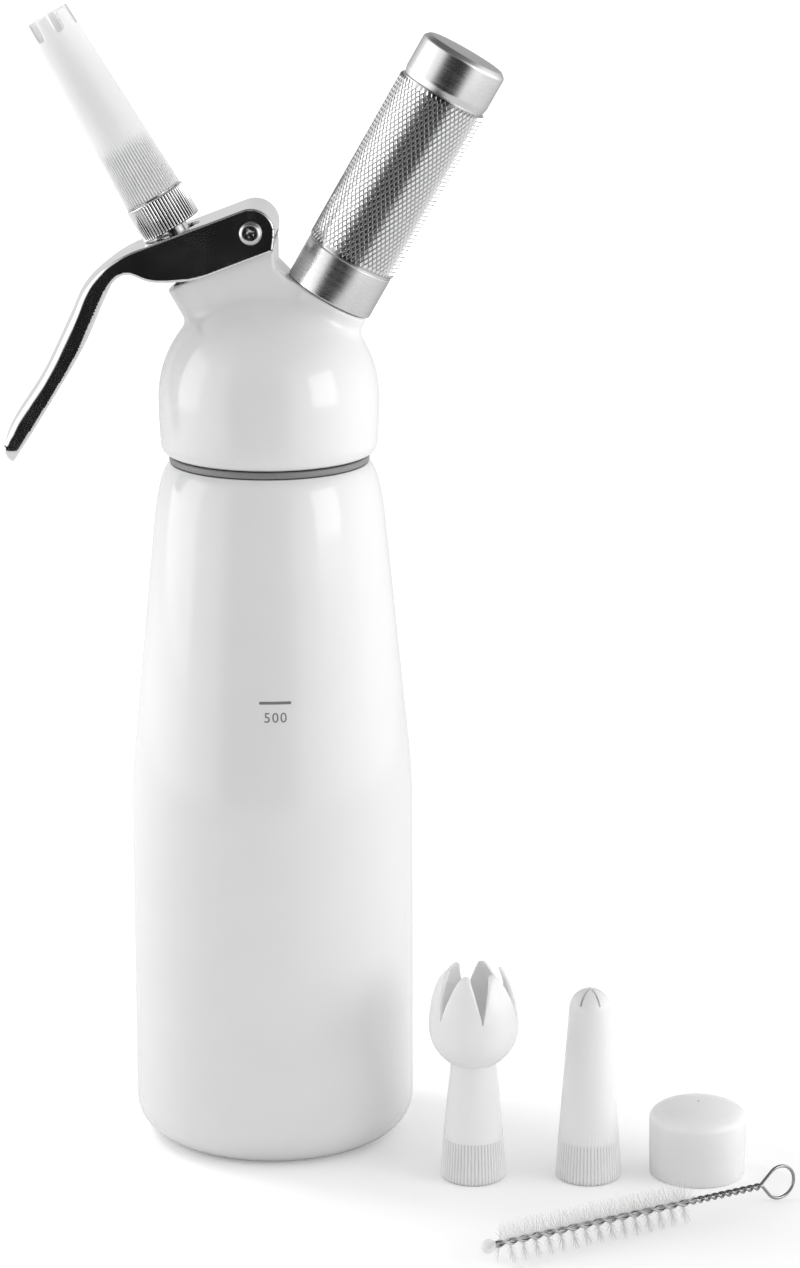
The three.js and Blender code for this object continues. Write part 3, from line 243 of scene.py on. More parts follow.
class SurfaceEffects:
    """Shader groups that several finishes share, each made once."""

    def __init__(self) -> None:
        """Build the groups."""
        self.grain = self._grain()
        self.handling = self._handling()
        self.shade = self._shade()
        self.turning = self._turning()
        self.painted_groove_shade = self._painted_groove_shade()

    def _grain(self) -> bpy.types.NodeTree:
        """Fine relief of a sprayed, moulded or cast surface."""
        inputs = {
            "Vector": (VECTOR, None),
            "Fine Scale": (FLOAT, 2.0),
            "Wave Scale": (FLOAT, 0.3),
            "Wave Share": (FLOAT, 0.5),
        }
        graph, given, result = new_group("surface grain", "ShaderNodeTree", inputs, {"Height": FLOAT})
        fine = graph.noise(given["Vector"], given["Fine Scale"], 4.0)
        wave = graph.noise(given["Vector"], given["Wave Scale"], 1.0)
        rest = graph.math("SUBTRACT", 1.0, given["Wave Share"])
        parts = (graph.math("MULTIPLY", fine, rest), graph.math("MULTIPLY", wave, given["Wave Share"]))
        graph.tree.links.new(graph.math("ADD", *parts), result["Height"])
        return graph.tree

    def _handling(self) -> bpy.types.NodeTree:
        """Roughness between a clean and a handled surface, in soft clouds with a few streaks."""
        inputs = {
            "Vector": (VECTOR, None),
            "Scale": (FLOAT, 0.08),
            "Clean": (FLOAT, 0.1),
            "Handled": (FLOAT, 0.2),
        }
        outputs = {"Roughness": FLOAT, "Mask": FLOAT}
        graph, given, result = new_group("handling marks", "ShaderNodeTree", inputs, outputs)
        cloud = graph.noise(given["Vector"], given["Scale"], 5.0)
        drawn = graph.vector("MULTIPLY", given["Vector"], (1.0, 1.0, 0.12))
        streak = graph.noise(drawn, graph.math("MULTIPLY", given["Scale"], 7.0), 3.0)
        both = graph.math("MULTIPLY", cloud, graph.ramp(streak, 0.35, 0.7, 0.9, 1.08))
        mask = graph.ramp(both, 0.35, 0.7)
        rough = graph.ramp(both, 0.35, 0.7, given["Clean"], given["Handled"])
        graph.tree.links.new(rough, result["Roughness"])
        graph.tree.links.new(mask, result["Mask"])
        return graph.tree

    def _shade(self) -> bpy.types.NodeTree:
        """Colour that drifts between two near shades."""
        inputs = {
            "Vector": (VECTOR, None),
            "Scale": (FLOAT, 0.05),
            "Colour": (COLOUR, (1.0, 1.0, 1.0, 1.0)),
            "Other Colour": (COLOUR, (0.9, 0.9, 0.9, 1.0)),
        }
        graph, given, result = new_group("shade drift", "ShaderNodeTree", inputs, {"Colour": COLOUR})
        share = graph.ramp(graph.noise(given["Vector"], given["Scale"], 3.0), 0.3, 0.75)
        mixed = graph.mix(share, given["Colour"], given["Other Colour"])
        graph.tree.links.new(mixed, result["Colour"])
        return graph.tree

    def _turning(self) -> bpy.types.NodeTree:
        """Fine rings that a lathe tool or a polishing wheel leaves round the axis."""
        inputs = {"Vector": (VECTOR, None), "Pitch": (FLOAT, 0.2)}
        outputs = {"Height": FLOAT, "Mask": FLOAT}
        graph, given, result = new_group("turning lines", "ShaderNodeTree", inputs, outputs)
        drawn = graph.vector("MULTIPLY", given["Vector"], (0.015, 0.015, 1.0))
        fine = graph.noise(drawn, graph.math("DIVIDE", 1.0, given["Pitch"]), 3.0)
        coarse = graph.noise(drawn, graph.math("DIVIDE", 0.2, given["Pitch"]), 2.0)
        height = graph.math("ADD", graph.math("MULTIPLY", fine, 0.7), graph.math("MULTIPLY", coarse, 0.3))
        graph.tree.links.new(height, result["Height"])
        graph.tree.links.new(graph.ramp(height, 0.35, 0.65), result["Mask"])
        return graph.tree

    def _painted_groove_shade(self) -> bpy.types.NodeTree:
        """How deep a place lies under the crests of ribs or studs that stand round the axis, as the mask for
        painted groove shade.
        """
        inputs = {
            "Vector": (VECTOR, None),
            "Radius": (FLOAT, 10.0),
            "Slope": (FLOAT, 0.0),
            "Depth": (FLOAT, 0.3),
            "Top": (FLOAT, 1000.0),
        }
        graph, given, result = new_group("groove depth", "ShaderNodeTree", inputs, {"Mask": FLOAT})
        radius = graph.measure("LENGTH", graph.vector("MULTIPLY", given["Vector"], (1.0, 1.0, 0.0)))
        height = graph.parts(given["Vector"])[2]
        crest = graph.math("ADD", given["Radius"], graph.math("MULTIPLY", given["Slope"], height))
        share = graph.math("DIVIDE", graph.math("SUBTRACT", crest, radius), given["Depth"])
        low = graph.math("LESS_THAN", height, given["Top"])
        mask = graph.product(graph.ramp(share, 0.25, 0.85), graph.ramp(share, 1.3, 1.6, 1.0, 0.0), low)
        graph.tree.links.new(mask, result["Mask"])
        return graph.tree


def set_constants(shader: bpy.types.Node, values: dict[str, object]) -> None:
    """Set those inputs of a shader that nothing is linked to."""
    for key, value in values.items():
        shader.inputs[key].default_value = value


EFFECTS = SurfaceEffects()
LINE_ROUGHNESS = 0.08
COAT_ROUGHNESS = 0.08
BLEED_REACH = 0.003


@dataclass(frozen=True)
class PaintedGrooveShade:
    """Painted shade: the base colour darkened between ribs or studs, where real shade falls.

    Attributes:
        radius: radius of the crests at the foot of the axis.
        depth: depth of the grooves.
        shade: brightness of the painted shade on their floor.
        slope: change of the radius in one millimetre along the axis.
        top: height where the grooves end.
    """

    radius: float
    depth: float
    shade: float
    slope: float = 0.0
    top: float = 1000.0


@dataclass(frozen=True)
class Finish:
    """How a surface looks.

    Attributes:
        name: name of the material.
        colour: main shade.
        other: shade that the main one drifts to.
        slot: the record's material slot that the finish belongs to.
        clean, handled: roughness of the clean and of the handled surface.
        metallic: 1 for bare metal.
        relief: height of the grain, in millimetres.
        fine, wave: the grain's scales, in features per millimetre.
        wave_share: share of the wave in the grain.
        turned: spacing of turning lines in millimetres, or 0 for none.
        turned_depth: height of the turning lines, in millimetres.
        coat: weight of a clear coat.
        bleed: weight of the light that spreads under the surface.
        alpha: how much of a thin strand hides what is behind it.
        edge: brightness of a bare metal seen at a flat angle.
    """

    name: str
    colour: tuple[float, float, float]
    other: tuple[float, float, float]
    slot: str
    clean: float
    handled: float
    metallic: float = 0.0
    relief: float = 0.01
    fine: float = 2.0
    wave: float = 0.25
    wave_share: float = 0.5
    turned: float = 0.0
    turned_depth: float = 0.0
    coat: float = 0.0
    bleed: float = 0.0
    alpha: float = 1.0
    edge: float = 1.0

    def material(self, place: Placement = UPRIGHT, painted_groove_shade: PaintedGrooveShade | None = None) -> bpy.types.Material:
        """Make or find the material, with its patterns centred on the piece's axis.

        Args:
            place: placement whose axis the patterns run round.
            painted_groove_shade: the ribs or studs whose grooves get painted shade in the base colour, if the
                piece has them.

        Returns:
            The material.
        """
        ribbed = f"ribbed {painted_groove_shade.radius:g}" if painted_groove_shade else "plain"
        label = f"{self.name} {ribbed} {place.origin[0]:g} {place.tilt:g} {place.yaw:g}"
        found = bpy.data.materials.get(label)
        if found:
            return found
        material = bpy.data.materials.new(label)
        material.use_nodes = True
        graph = Graph(material.node_tree)
        shader = material.node_tree.nodes["Principled BSDF"]
        here = graph.node("ShaderNodeTexCoord").outputs["Object"]
        centred = graph.node("ShaderNodeMapping", {"Vector": here}, vector_type="TEXTURE")
        centred.inputs["Location"].default_value = Vector(place.origin) * METRES
        centred.inputs["Rotation"].default_value = place.turn().to_euler()
        centred.inputs["Scale"].default_value = (METRES, METRES, METRES)
        vector = centred.outputs[0]
        drift = self._use(graph, EFFECTS.shade, {
            "Vector": vector, "Colour": (*self.colour, 1.0), "Other Colour": (*self.other, 1.0),
        })
        handling = self._use(graph, EFFECTS.handling, {
            "Vector": vector, "Clean": self.clean, "Handled": self.handled,
        })
        grain = self._use(graph, EFFECTS.grain, {
            "Vector": vector, "Fine Scale": self.fine, "Wave Scale": self.wave,
            "Wave Share": self.wave_share,
        })
        colour = drift["Colour"]
        if painted_groove_shade:
            low = self._use(graph, EFFECTS.painted_groove_shade, {
                "Vector": vector, "Radius": painted_groove_shade.radius, "Slope": painted_groove_shade.slope,
                "Depth": painted_groove_shade.depth, "Top": painted_groove_shade.top,
            })
            # Painted shade: the base colour is darkened in the grooves, where real shade would fall.
            colour = graph.mix(low["Mask"], colour, (painted_groove_shade.shade, painted_groove_shade.shade, painted_groove_shade.shade, 1.0))
        rough = handling["Roughness"]
        height = graph.math("MULTIPLY", grain["Height"], self.relief * METRES)
        if self.turned:
            rings = self._use(graph, EFFECTS.turning, {"Vector": vector, "Pitch": self.turned})
            lines = graph.math("MULTIPLY", rings["Height"], self.turned_depth * METRES)
            height = graph.math("ADD", height, lines)
            rough = graph.math("ADD", rough, graph.math("MULTIPLY", rings["Mask"], LINE_ROUGHNESS))
        bump = graph.node("ShaderNodeBump", {"Height": height, "Distance": 1.0, "Strength": 1.0})
        for key, socket in (("Base Color", colour), ("Roughness", rough), ("Normal", bump.outputs[0])):
            material.node_tree.links.new(socket, shader.inputs[key])
        set_constants(shader, {
            "Metallic": self.metallic, "Specular Tint": (self.edge, self.edge, self.edge, 1.0),
            "Coat Weight": self.coat, "Coat Roughness": COAT_ROUGHNESS,
            "Subsurface Weight": self.bleed, "Subsurface Radius": (1.0, 1.0, 1.0),
            "Subsurface Scale": BLEED_REACH, "Alpha": self.alpha,
        })
        return material

    @staticmethod
    def _use(graph: Graph, group: bpy.types.NodeTree, wires: dict) -> bpy.types.bpy_prop_collection:
        """Outputs of a shared group that is placed with its own values."""
        return graph.node("ShaderNodeGroup", wires, node_tree=group).outputs


WHITE_ENAMEL = Finish(
    "white enamel", (0.79, 0.79, 0.79), (0.775, 0.776, 0.778), "white_enamel", 0.13, 0.17,
    relief=0.0016, fine=1.6, wave=0.12, wave_share=0.35, coat=0.25,
)
GREY_SILICONE = Finish(
    "grey silicone", (0.2, 0.2, 0.2), (0.24, 0.24, 0.24), "grey_silicone", 0.38, 0.5, relief=0.004,
)
POLISHED_STEEL = Finish(
    "polished lever", (0.78, 0.78, 0.785), (0.74, 0.74, 0.75), "chrome", 0.09, 0.16,
    metallic=1.0, relief=0.0008, fine=3.0, wave=0.12,
)
BRIGHT_PLATING = Finish(
    "bright plating", (0.9, 0.9, 0.905), (0.86, 0.86, 0.87), "chrome", 0.06, 0.1,
    metallic=1.0, relief=0.0004,
)
SATIN_ALUMINIUM = Finish(
    "satin aluminium", (0.74, 0.74, 0.745), (0.7, 0.7, 0.71), "aluminium", 0.2, 0.26,
    metallic=1.0, relief=0.0008, fine=4.0, wave_share=0.2, turned=0.16, turned_depth=0.0012, edge=0.6,
)
KNURLED_ALUMINIUM = Finish(
    "knurled aluminium", (0.88, 0.88, 0.885), (0.85, 0.85, 0.86), "aluminium", 0.16, 0.22,
    metallic=1.0, relief=0.0006, fine=4.0, wave_share=0.2, edge=0.2,
)
PLAIN_STEEL = Finish(
    "plain steel", (0.62, 0.62, 0.63), (0.57, 0.57, 0.58), "steel", 0.12, 0.2,
    metallic=1.0, relief=0.0006, turned=0.12, turned_depth=0.0008,
)
BRUSH_WIRE = Finish(
    "brush wire", (0.42, 0.42, 0.43), (0.34, 0.34, 0.35), "steel", 0.1, 0.16, metallic=1.0, relief=0.0006,
)
SPRING_WIRE = Finish(
    "spring wire", (0.4, 0.4, 0.41), (0.33, 0.33, 0.34), "spring_steel", 0.2, 0.32,
    metallic=1.0, relief=0.001,
)
YELLOW_BRASS = Finish(
    "yellow brass", (0.62, 0.46, 0.2), (0.5, 0.36, 0.16), "brass", 0.22, 0.36,
    metallic=1.0, relief=0.001, turned=0.15, turned_depth=0.001,
)
BLACK_RUBBER = Finish(
    "black rubber", (0.02, 0.02, 0.02), (0.035, 0.035, 0.035), "black_rubber", 0.5, 0.7, relief=0.01,
)
FROSTED_TIP = Finish(
    "frosted tip", (0.9, 0.9, 0.9), (0.885, 0.885, 0.887), "frosted_plastic", 0.36, 0.42,
    relief=0.003, fine=3.0, wave_share=0.2, bleed=0.6,
)
WHITE_PLASTIC = Finish(
    "white plastic", (0.94, 0.94, 0.94), (0.925, 0.925, 0.927), "white_plastic", 0.2, 0.26,
    relief=0.0014, fine=1.4, wave_share=0.3, bleed=0.6,
)
WHITE_NYLON = Finish(
    "white nylon", (0.93, 0.93, 0.93), (0.9, 0.9, 0.9), "nylon", 0.3, 0.4, relief=0.001, alpha=0.6,
)
GREY_INK = Finish(
    "grey ink", (0.16, 0.16, 0.165), (0.19, 0.19, 0.195), "grey_silicone", 0.4, 0.5, relief=0.001,
)


@dataclass
class Shell:
    """Closed surface in millimetres on its piece's own axes."""

    points: np.ndarray
    faces: list[tuple[int, ...]]

    def joined(self, *others: "Shell") -> "Shell":
        """This shell and the others as one."""
        points, faces = [self.points], list(self.faces)
        start = len(self.points)
        for other in others:
            faces += [tuple(start + corner for corner in face) for face in other.faces]
            points.append(other.points)
            start += len(other.points)
        return Shell(np.vstack(points), faces)

    def spun(self, angle: float) -> "Shell":
        """This shell turned about Z by an angle in radians."""
        return Shell(self.points @ np.array(Matrix.Rotation(angle, 3, "Z")).T, self.faces)

    def outward(self) -> "Shell":
        """This shell with its faces turned outward, by the sign of its volume."""
        first = np.array([[f[0], f[k], f[k + 1]] for f in self.faces for k in range(1, len(f) - 1)])
        a, b, c = (self.points[first[:, k]] for k in range(3))
        volume = np.einsum("ij,ij->i", a, np.cross(b, c)).sum()
        if volume < 0:
            self.faces = [face[::-1] for face in self.faces]
        return self


def arc_corner(corners: Sequence[Corner], index: int, steps: int) -> list[Corner]:
    """Points of a corner of an outline, rounded by its third number if it has one.

    Args:
        corners: the outline's corners: radius, height and, for a rounded one, the rounding's reach.
        index: which corner.
        steps: points on the rounding.

    Returns:
        The corner itself, or the points of an arc that touches both of its sides.
    """
    here = np.array(corners[index][:2])
    if len(corners[index]) < 3 or not 0 < index < len(corners) - 1:
        return [tuple(here)]
    before = np.array(corners[index - 1][:2]) - here
    after = np.array(corners[index + 1][:2]) - here
    reach = min(corners[index][2], 0.49 * np.linalg.norm(before), 0.49 * np.linalg.norm(after))
    before, after = before / np.linalg.norm(before), after / np.linalg.norm(after)
    weight = math.sqrt(max(0.0, (1 - float(before @ after)) / 2))
    start, end = here + reach * before, here + reach * after
    points = []
    for t in np.linspace(0, 1, steps + 1):
        parts = ((1 - t) ** 2, 2 * weight * t * (1 - t), t**2)
        points.append(tuple((parts[0] * start + parts[1] * here + parts[2] * end) / sum(parts)))
    return points


def outline(corners: Sequence[Corner], steps: int = 5) -> list[Corner]:
    """Outline of a turned piece, with its corners rounded."""
    return [point for k in range(len(corners)) for point in arc_corner(corners, k, steps)]


def drawn_curve(start: Corner, control: Corner, end: Corner, steps: int) -> list[Corner]:
    """Points of a soft curve from start to end that leans towards the control point."""
    points = []
    for t in np.linspace(0, 1, steps + 1):
        parts = ((1 - t) ** 2, 2 * t * (1 - t), t**2)
        points.append(tuple(sum(p * c[k] for p, c in zip(parts, (start, control, end))) for k in (0, 1)))
    return points


def wrapped(grid: np.ndarray) -> Shell:
    """Closed skin over loops of points that stand in a ring.

    Args:
        grid: the points, as (loops, points on a loop, 3).

    Returns:
        The skin, which has no ends.
    """
    loops, count = grid.shape[:2]
    faces = []
    for i in range(loops):
        near, far = i * count, (i + 1) % loops * count
        for k in range(count):
            after = (k + 1) % count
            faces.append((near + k, far + k, far + after, near + after))
    return Shell(grid.reshape(-1, 3), faces).outward()


def turned(profile: Sequence[Corner], segments: int = 128) -> Shell:
    """Surface of revolution about Z.

    Args:
        profile: radius and height of the outline's points. It runs from the axis back to the axis,
            or round a closed loop whose last point isn't its first.
        segments: faces round the axis.

    Returns:
        The closed surface.
    """
    profile = [profile[0]] + [b for a, b in zip(profile, profile[1:]) if math.dist(a, b) > ON_AXIS]
    angles = np.arange(segments) * FULL_TURN / segments
    rings = np.array(profile)
    if rings[0, 0] > ON_AXIS:
        grid = np.empty((segments, len(rings), 3))
        grid[..., 0] = rings[None, :, 0] * np.cos(angles)[:, None]
        grid[..., 1] = rings[None, :, 0] * np.sin(angles)[:, None]
        grid[..., 2] = rings[None, :, 1]
        return wrapped(grid)
    body = rings[1:-1]
    points = [[0, 0, rings[0, 1]], [0, 0, rings[-1, 1]]]
    for radius, height in body:
        points += [[radius * math.cos(a), radius * math.sin(a), height] for a in angles]
    faces = []
    last = 2 + (len(body) - 1) * segments
    for k in range(segments):
        after = (k + 1) % segments
        faces.append((0, 2 + after, 2 + k))
        faces.append((1, last + k, last + after))
        for row in range(len(body) - 1):
            low, high = 2 + row * segments, 2 + (row + 1) * segments
            faces.append((low + k, low + after, high + after, high + k))
    return Shell(np.array(points, float), faces).outward()


def thread(root: float, *, depth: float, pitch: float, turns: float, width: float, start: float) -> Shell:
    """Thread ridge round Z that stands out of a shaft and runs out at both ends.

    Args:
        root: radius at the foot of the thread.
        depth: height of the crest over the foot.
        pitch: rise in one turn.
        turns: number of turns.
        width: width at the foot.
        start: height of the first turn's middle.

    Returns:
        The ridge, with its foot sunk into the shaft.
    """
    facets = 96
    steps = round(turns * facets)
    run_out = 0.12 * facets
    foot, crest = root - 0.4, root + depth
    section = [(-0.5, foot), (-0.42, root), (-0.2, crest), (0.2, crest), (0.42, root), (0.5, foot)]
    rings = []
    for i in range(steps + 1):
        fade = min(1.0, i / run_out, (steps - i) / run_out)
        angle = FULL_TURN * i / facets
        ring = []
        for across, radius in section:
            reach = radius if radius <= root else root + (radius - root) * fade
            height = start + pitch * i / facets + across * width
            ring.append((reach * math.cos(angle), reach * math.sin(angle), height))
        rings.append(ring)
    count = len(section)
    faces = [tuple(range(count)), tuple(range(steps * count, (steps + 1) * count))[::-1]]
    for i in range(steps):
        for k in range(count):
            after = (k + 1) % count
            faces.append((i * count + k, (i + 1) * count + k, (i + 1) * count + after, i * count + after))
    return Shell(np.array(rings).reshape(-1, 3), faces).outward()


def sampled(distance: Rule, axes: Sequence[np.ndarray], cell: float) -> np.ndarray:
    """Distances on a grid, worked out one by one only in the blocks that the surface may cross.

    Args:
        distance: signed distance at (n, 3) points.
        axes: the grid's places along X, Y and Z.
        cell: spacing of the grid.

    Returns:
        The distances, with the block's middle value in the blocks that lie off the surface.
    """
    block = 8
    middles = [axis[::block] + cell * (block - 1) / 2 for axis in axes]
    coarse = distance(np.stack(np.meshgrid(*middles, indexing="ij"), axis=-1).reshape(-1, 3))
    coarse = coarse.reshape([len(middle) for middle in middles])
    for axis in range(3):
        coarse = np.repeat(coarse, block, axis=axis)
    values = coarse[tuple(slice(len(axis)) for axis in axes)].copy()
    near = np.nonzero(np.abs(values) < 1.2 * cell * block)
    values[near] = distance(np.stack([axis[place] for axis, place in zip(axes, near)], axis=1))
    return values


def field_shell(distance: Rule, low: Corner, high: Corner, cell: float) -> Shell:
    """Closed surface where a distance field is zero.

    Args:
        distance: signed distance at (n, 3) points, negative inside.
        low: lowest corner of the space to search.
        high: highest corner.
        cell: spacing of the samples.

    Returns:
        A surface of quads whose points lie on the zero of the field.
    """
    axes = [np.arange(a, b + cell, cell) for a, b in zip(low, high)]
    shape = tuple(len(axis) for axis in axes)
    values = sampled(distance, axes, cell)
    inside = values < 0
    total = np.zeros(tuple(n - 1 for n in shape) + (3,))
    crossings = np.zeros(tuple(n - 1 for n in shape))
    edges = []
    for axis in range(3):
        a = [slice(None)] * 3
        b = [slice(None)] * 3
        a[axis], b[axis] = slice(None, -1), slice(1, None)
        va, vb = values[tuple(a)], values[tuple(b)]
        cross = inside[tuple(a)] != inside[tuple(b)]
        share = np.where(cross, va / np.where(cross, va - vb, 1), 0)
        edges.append((cross, inside[tuple(a)]))
        others = [k for k in range(3) if k != axis]
        for du in (0, 1):
            for dv in (0, 1):
                pick = [slice(None)] * 3
                pick[others[0]] = slice(du, shape[others[0]] - 1 + du)
                pick[others[1]] = slice(dv, shape[others[1]] - 1 + dv)
                hit = cross[tuple(pick)]
                crossings += hit
                total[..., axis] += np.where(hit, share[tuple(pick)], 0)
                total[..., others[0]] += hit * du
                total[..., others[1]] += hit * dv
    used = crossings > 0
    number = np.full(used.shape, -1)
    number[used] = np.arange(used.sum())
    corner = np.stack(np.nonzero(used), axis=1)
    points = (corner + total[used] / crossings[used][:, None]) * cell + np.array([a[0] for a in axes])
    nudge, flattest, longest, rounds = 0.02, 0.05, 0.4 * cell, 4
    slope = np.empty_like(points)
    for shift in np.eye(3) * nudge:
        slope[:, shift > 0] = ((distance(points + shift) - distance(points - shift)) / (2 * nudge))[:, None]
    slope /= np.maximum((slope**2).sum(axis=1), flattest)[:, None]
    for _ in range(rounds):
        points -= np.clip(slope * distance(points)[:, None], -longest, longest)
    faces = []
    for axis, (cross, starts_inside) in enumerate(edges):
        u, v = ((axis + 1) % 3, (axis + 2) % 3)
        place = np.stack(np.nonzero(cross), axis=1)
        place = place[(place[:, u] > 0) & (place[:, v] > 0)]
        flip = starts_inside[tuple(place.T)]
        quad = []
        for du, dv in ((-1, -1), (0, -1), (0, 0), (-1, 0)):
            near = place.copy()
            near[:, u] += du
            near[:, v] += dv
            quad.append(number[tuple(near.T)])
        quad = np.stack(quad, axis=1)
        quad[~flip] = quad[~flip][:, ::-1]
        faces += [tuple(row) for row in quad.tolist()]
    return Shell(points, faces).outward()


def soft_max(a: np.ndarray, b: np.ndarray, reach: float | np.ndarray) -> np.ndarray:
    """Larger of two distances, with a rounding of the given reach where they meet."""
    blend = np.maximum(reach - np.abs(a - b), 0)
    return np.maximum(a, b) + blend**2 / (4 * reach)


def soft_min(a: np.ndarray, b: np.ndarray, reach: float | np.ndarray) -> np.ndarray:
    """Smaller of two distances, with a hollow of the given reach where they meet."""
    return -soft_max(-a, -b, reach)


def polygon_distance(points: np.ndarray, corners: np.ndarray) -> tuple[np.ndarray, np.ndarray]:
    """Signed distance of plane points to a polygon, and the nearest of its sides.

    Args:
        points: (n, 2) points.
        corners: (m, 2) corners in order.

    Returns:
        Distances, negative inside, and the number of the nearest side.
    """
    tiny = 1e-12
    nearest = np.full(len(points), np.inf)
    side = np.zeros(len(points), int)
    winding = np.zeros(len(points), bool)
    for k, (a, b) in enumerate(zip(corners, np.roll(corners, -1, axis=0))):
        run = b - a
        rel = points - a
        share = np.clip(rel @ run / max(float(run @ run), tiny), 0, 1)
        square = ((rel - share[:, None] * run) ** 2).sum(axis=1)
        closer = square < nearest
        nearest[closer] = square[closer]
        side[closer] = k
        spans = (a[1] > points[:, 1]) != (b[1] > points[:, 1])
        rise = run[1] if abs(run[1]) > tiny else tiny
        winding ^= spans & (points[:, 0] < a[0] + (points[:, 1] - a[1]) * run[0] / rise)
    return np.where(winding, -1, 1) * np.sqrt(nearest), side


class Smoothing(Enum):
    """How a mesh is shaded across its edges, as the angle in degrees from which an edge is sharp."""

    ROUND = 180.0
    RIBBED = 62.0
    CRISP = 32.0
    FACETED = 12.0


def linked(name: str, data: bpy.types.ID) -> bpy.types.Object:
    """New object in the scene that shows the given data."""
    thing = bpy.data.objects.new(name, data)
    bpy.context.scene.collection.objects.link(thing)
    return thing


def mesh_object(
    name: str, shell: Shell, material: bpy.types.Material, smoothing: Smoothing = Smoothing.CRISP,
) -> bpy.types.Object:
    """Put a shell in the scene, still in millimetres on its own axes."""
    mesh = bpy.data.meshes.new(name)
    mesh.from_pydata(shell.points.tolist(), [], shell.faces)
    mesh.materials.append(material)
    shade(mesh, smoothing)
    return linked(name, mesh)


def shade(mesh: bpy.types.Mesh, smoothing: Smoothing) -> None:
    """Shade a mesh smooth except across its sharp edges."""
    mesh.shade_smooth()
    if smoothing is not Smoothing.ROUND:
        mesh.set_sharp_from_angle(angle=math.radians(smoothing.value))


def evaluated(thing: bpy.types.Object) -> bpy.types.Mesh:
    """Plain mesh of an object with its modifiers worked out."""
    bpy.context.view_layer.update()
    graph = bpy.context.evaluated_depsgraph_get()
    mesh = bpy.data.meshes.new_from_object(thing.evaluated_get(graph), depsgraph=graph)
    mesh.name = thing.name
    return mesh


def with_tree(thing: bpy.types.Object, tree: bpy.types.NodeTree, values: dict) -> bpy.types.Object:
    """Work a geometry tree into an object's mesh.

    Args:
        thing: the object, whose mesh is replaced.
        tree: the geometry tree.
        values: what its inputs get, by their names.

    Returns:
        The same object, with no modifier left.
    """
    modifier = thing.modifiers.new(tree.name, "NODES")
    modifier.node_group = tree
    for item in tree.interface.items_tree:
        if item.item_type == "SOCKET" and item.in_out == "INPUT" and item.name in values:
            modifier[item.identifier] = values[item.name]
    mesh = evaluated(thing)
    thing.modifiers.remove(modifier)
    thing.data = mesh
    return thing


def carved(
    thing: bpy.types.Object, tools: Sequence[Shell], operation: str = "DIFFERENCE",
) -> bpy.types.Object:
    """Cut an object's mesh with other closed shells.

    Args:
        thing: the object to cut.
        tools: shells on the same axes.
        operation: what a Boolean modifier does with each of them.

    Returns:
        The same object, with no modifier left.
    """
    for tool in tools:
        cutter = mesh_object("cutter", tool, thing.data.materials[0], Smoothing.ROUND)
        modifier = thing.modifiers.new("cut", "BOOLEAN")
        modifier.object = cutter
        modifier.operation = operation
        modifier.solver = "EXACT"
        mesh = evaluated(thing)
        thing.modifiers.remove(modifier)
        thing.data = mesh
        bpy.data.objects.remove(cutter)
    return thing


def box_shell(size: Corner, height: float) -> Shell:
    """Box for cutting, centred on the axis at a height."""
    corners = ((-1, -1), (1, -1), (1, 1), (-1, 1))
    points = [
        [a * size[0] / 2, b * size[1] / 2, level * size[2] / 2 + height]
        for level in (-1, 1) for a, b in corners
    ]
    faces = [(0, 3, 2, 1), (4, 5, 6, 7), (0, 1, 5, 4), (1, 2, 6, 5), (2, 3, 7, 6), (3, 0, 4, 7)]
    return Shell(np.array(points, float), faces)


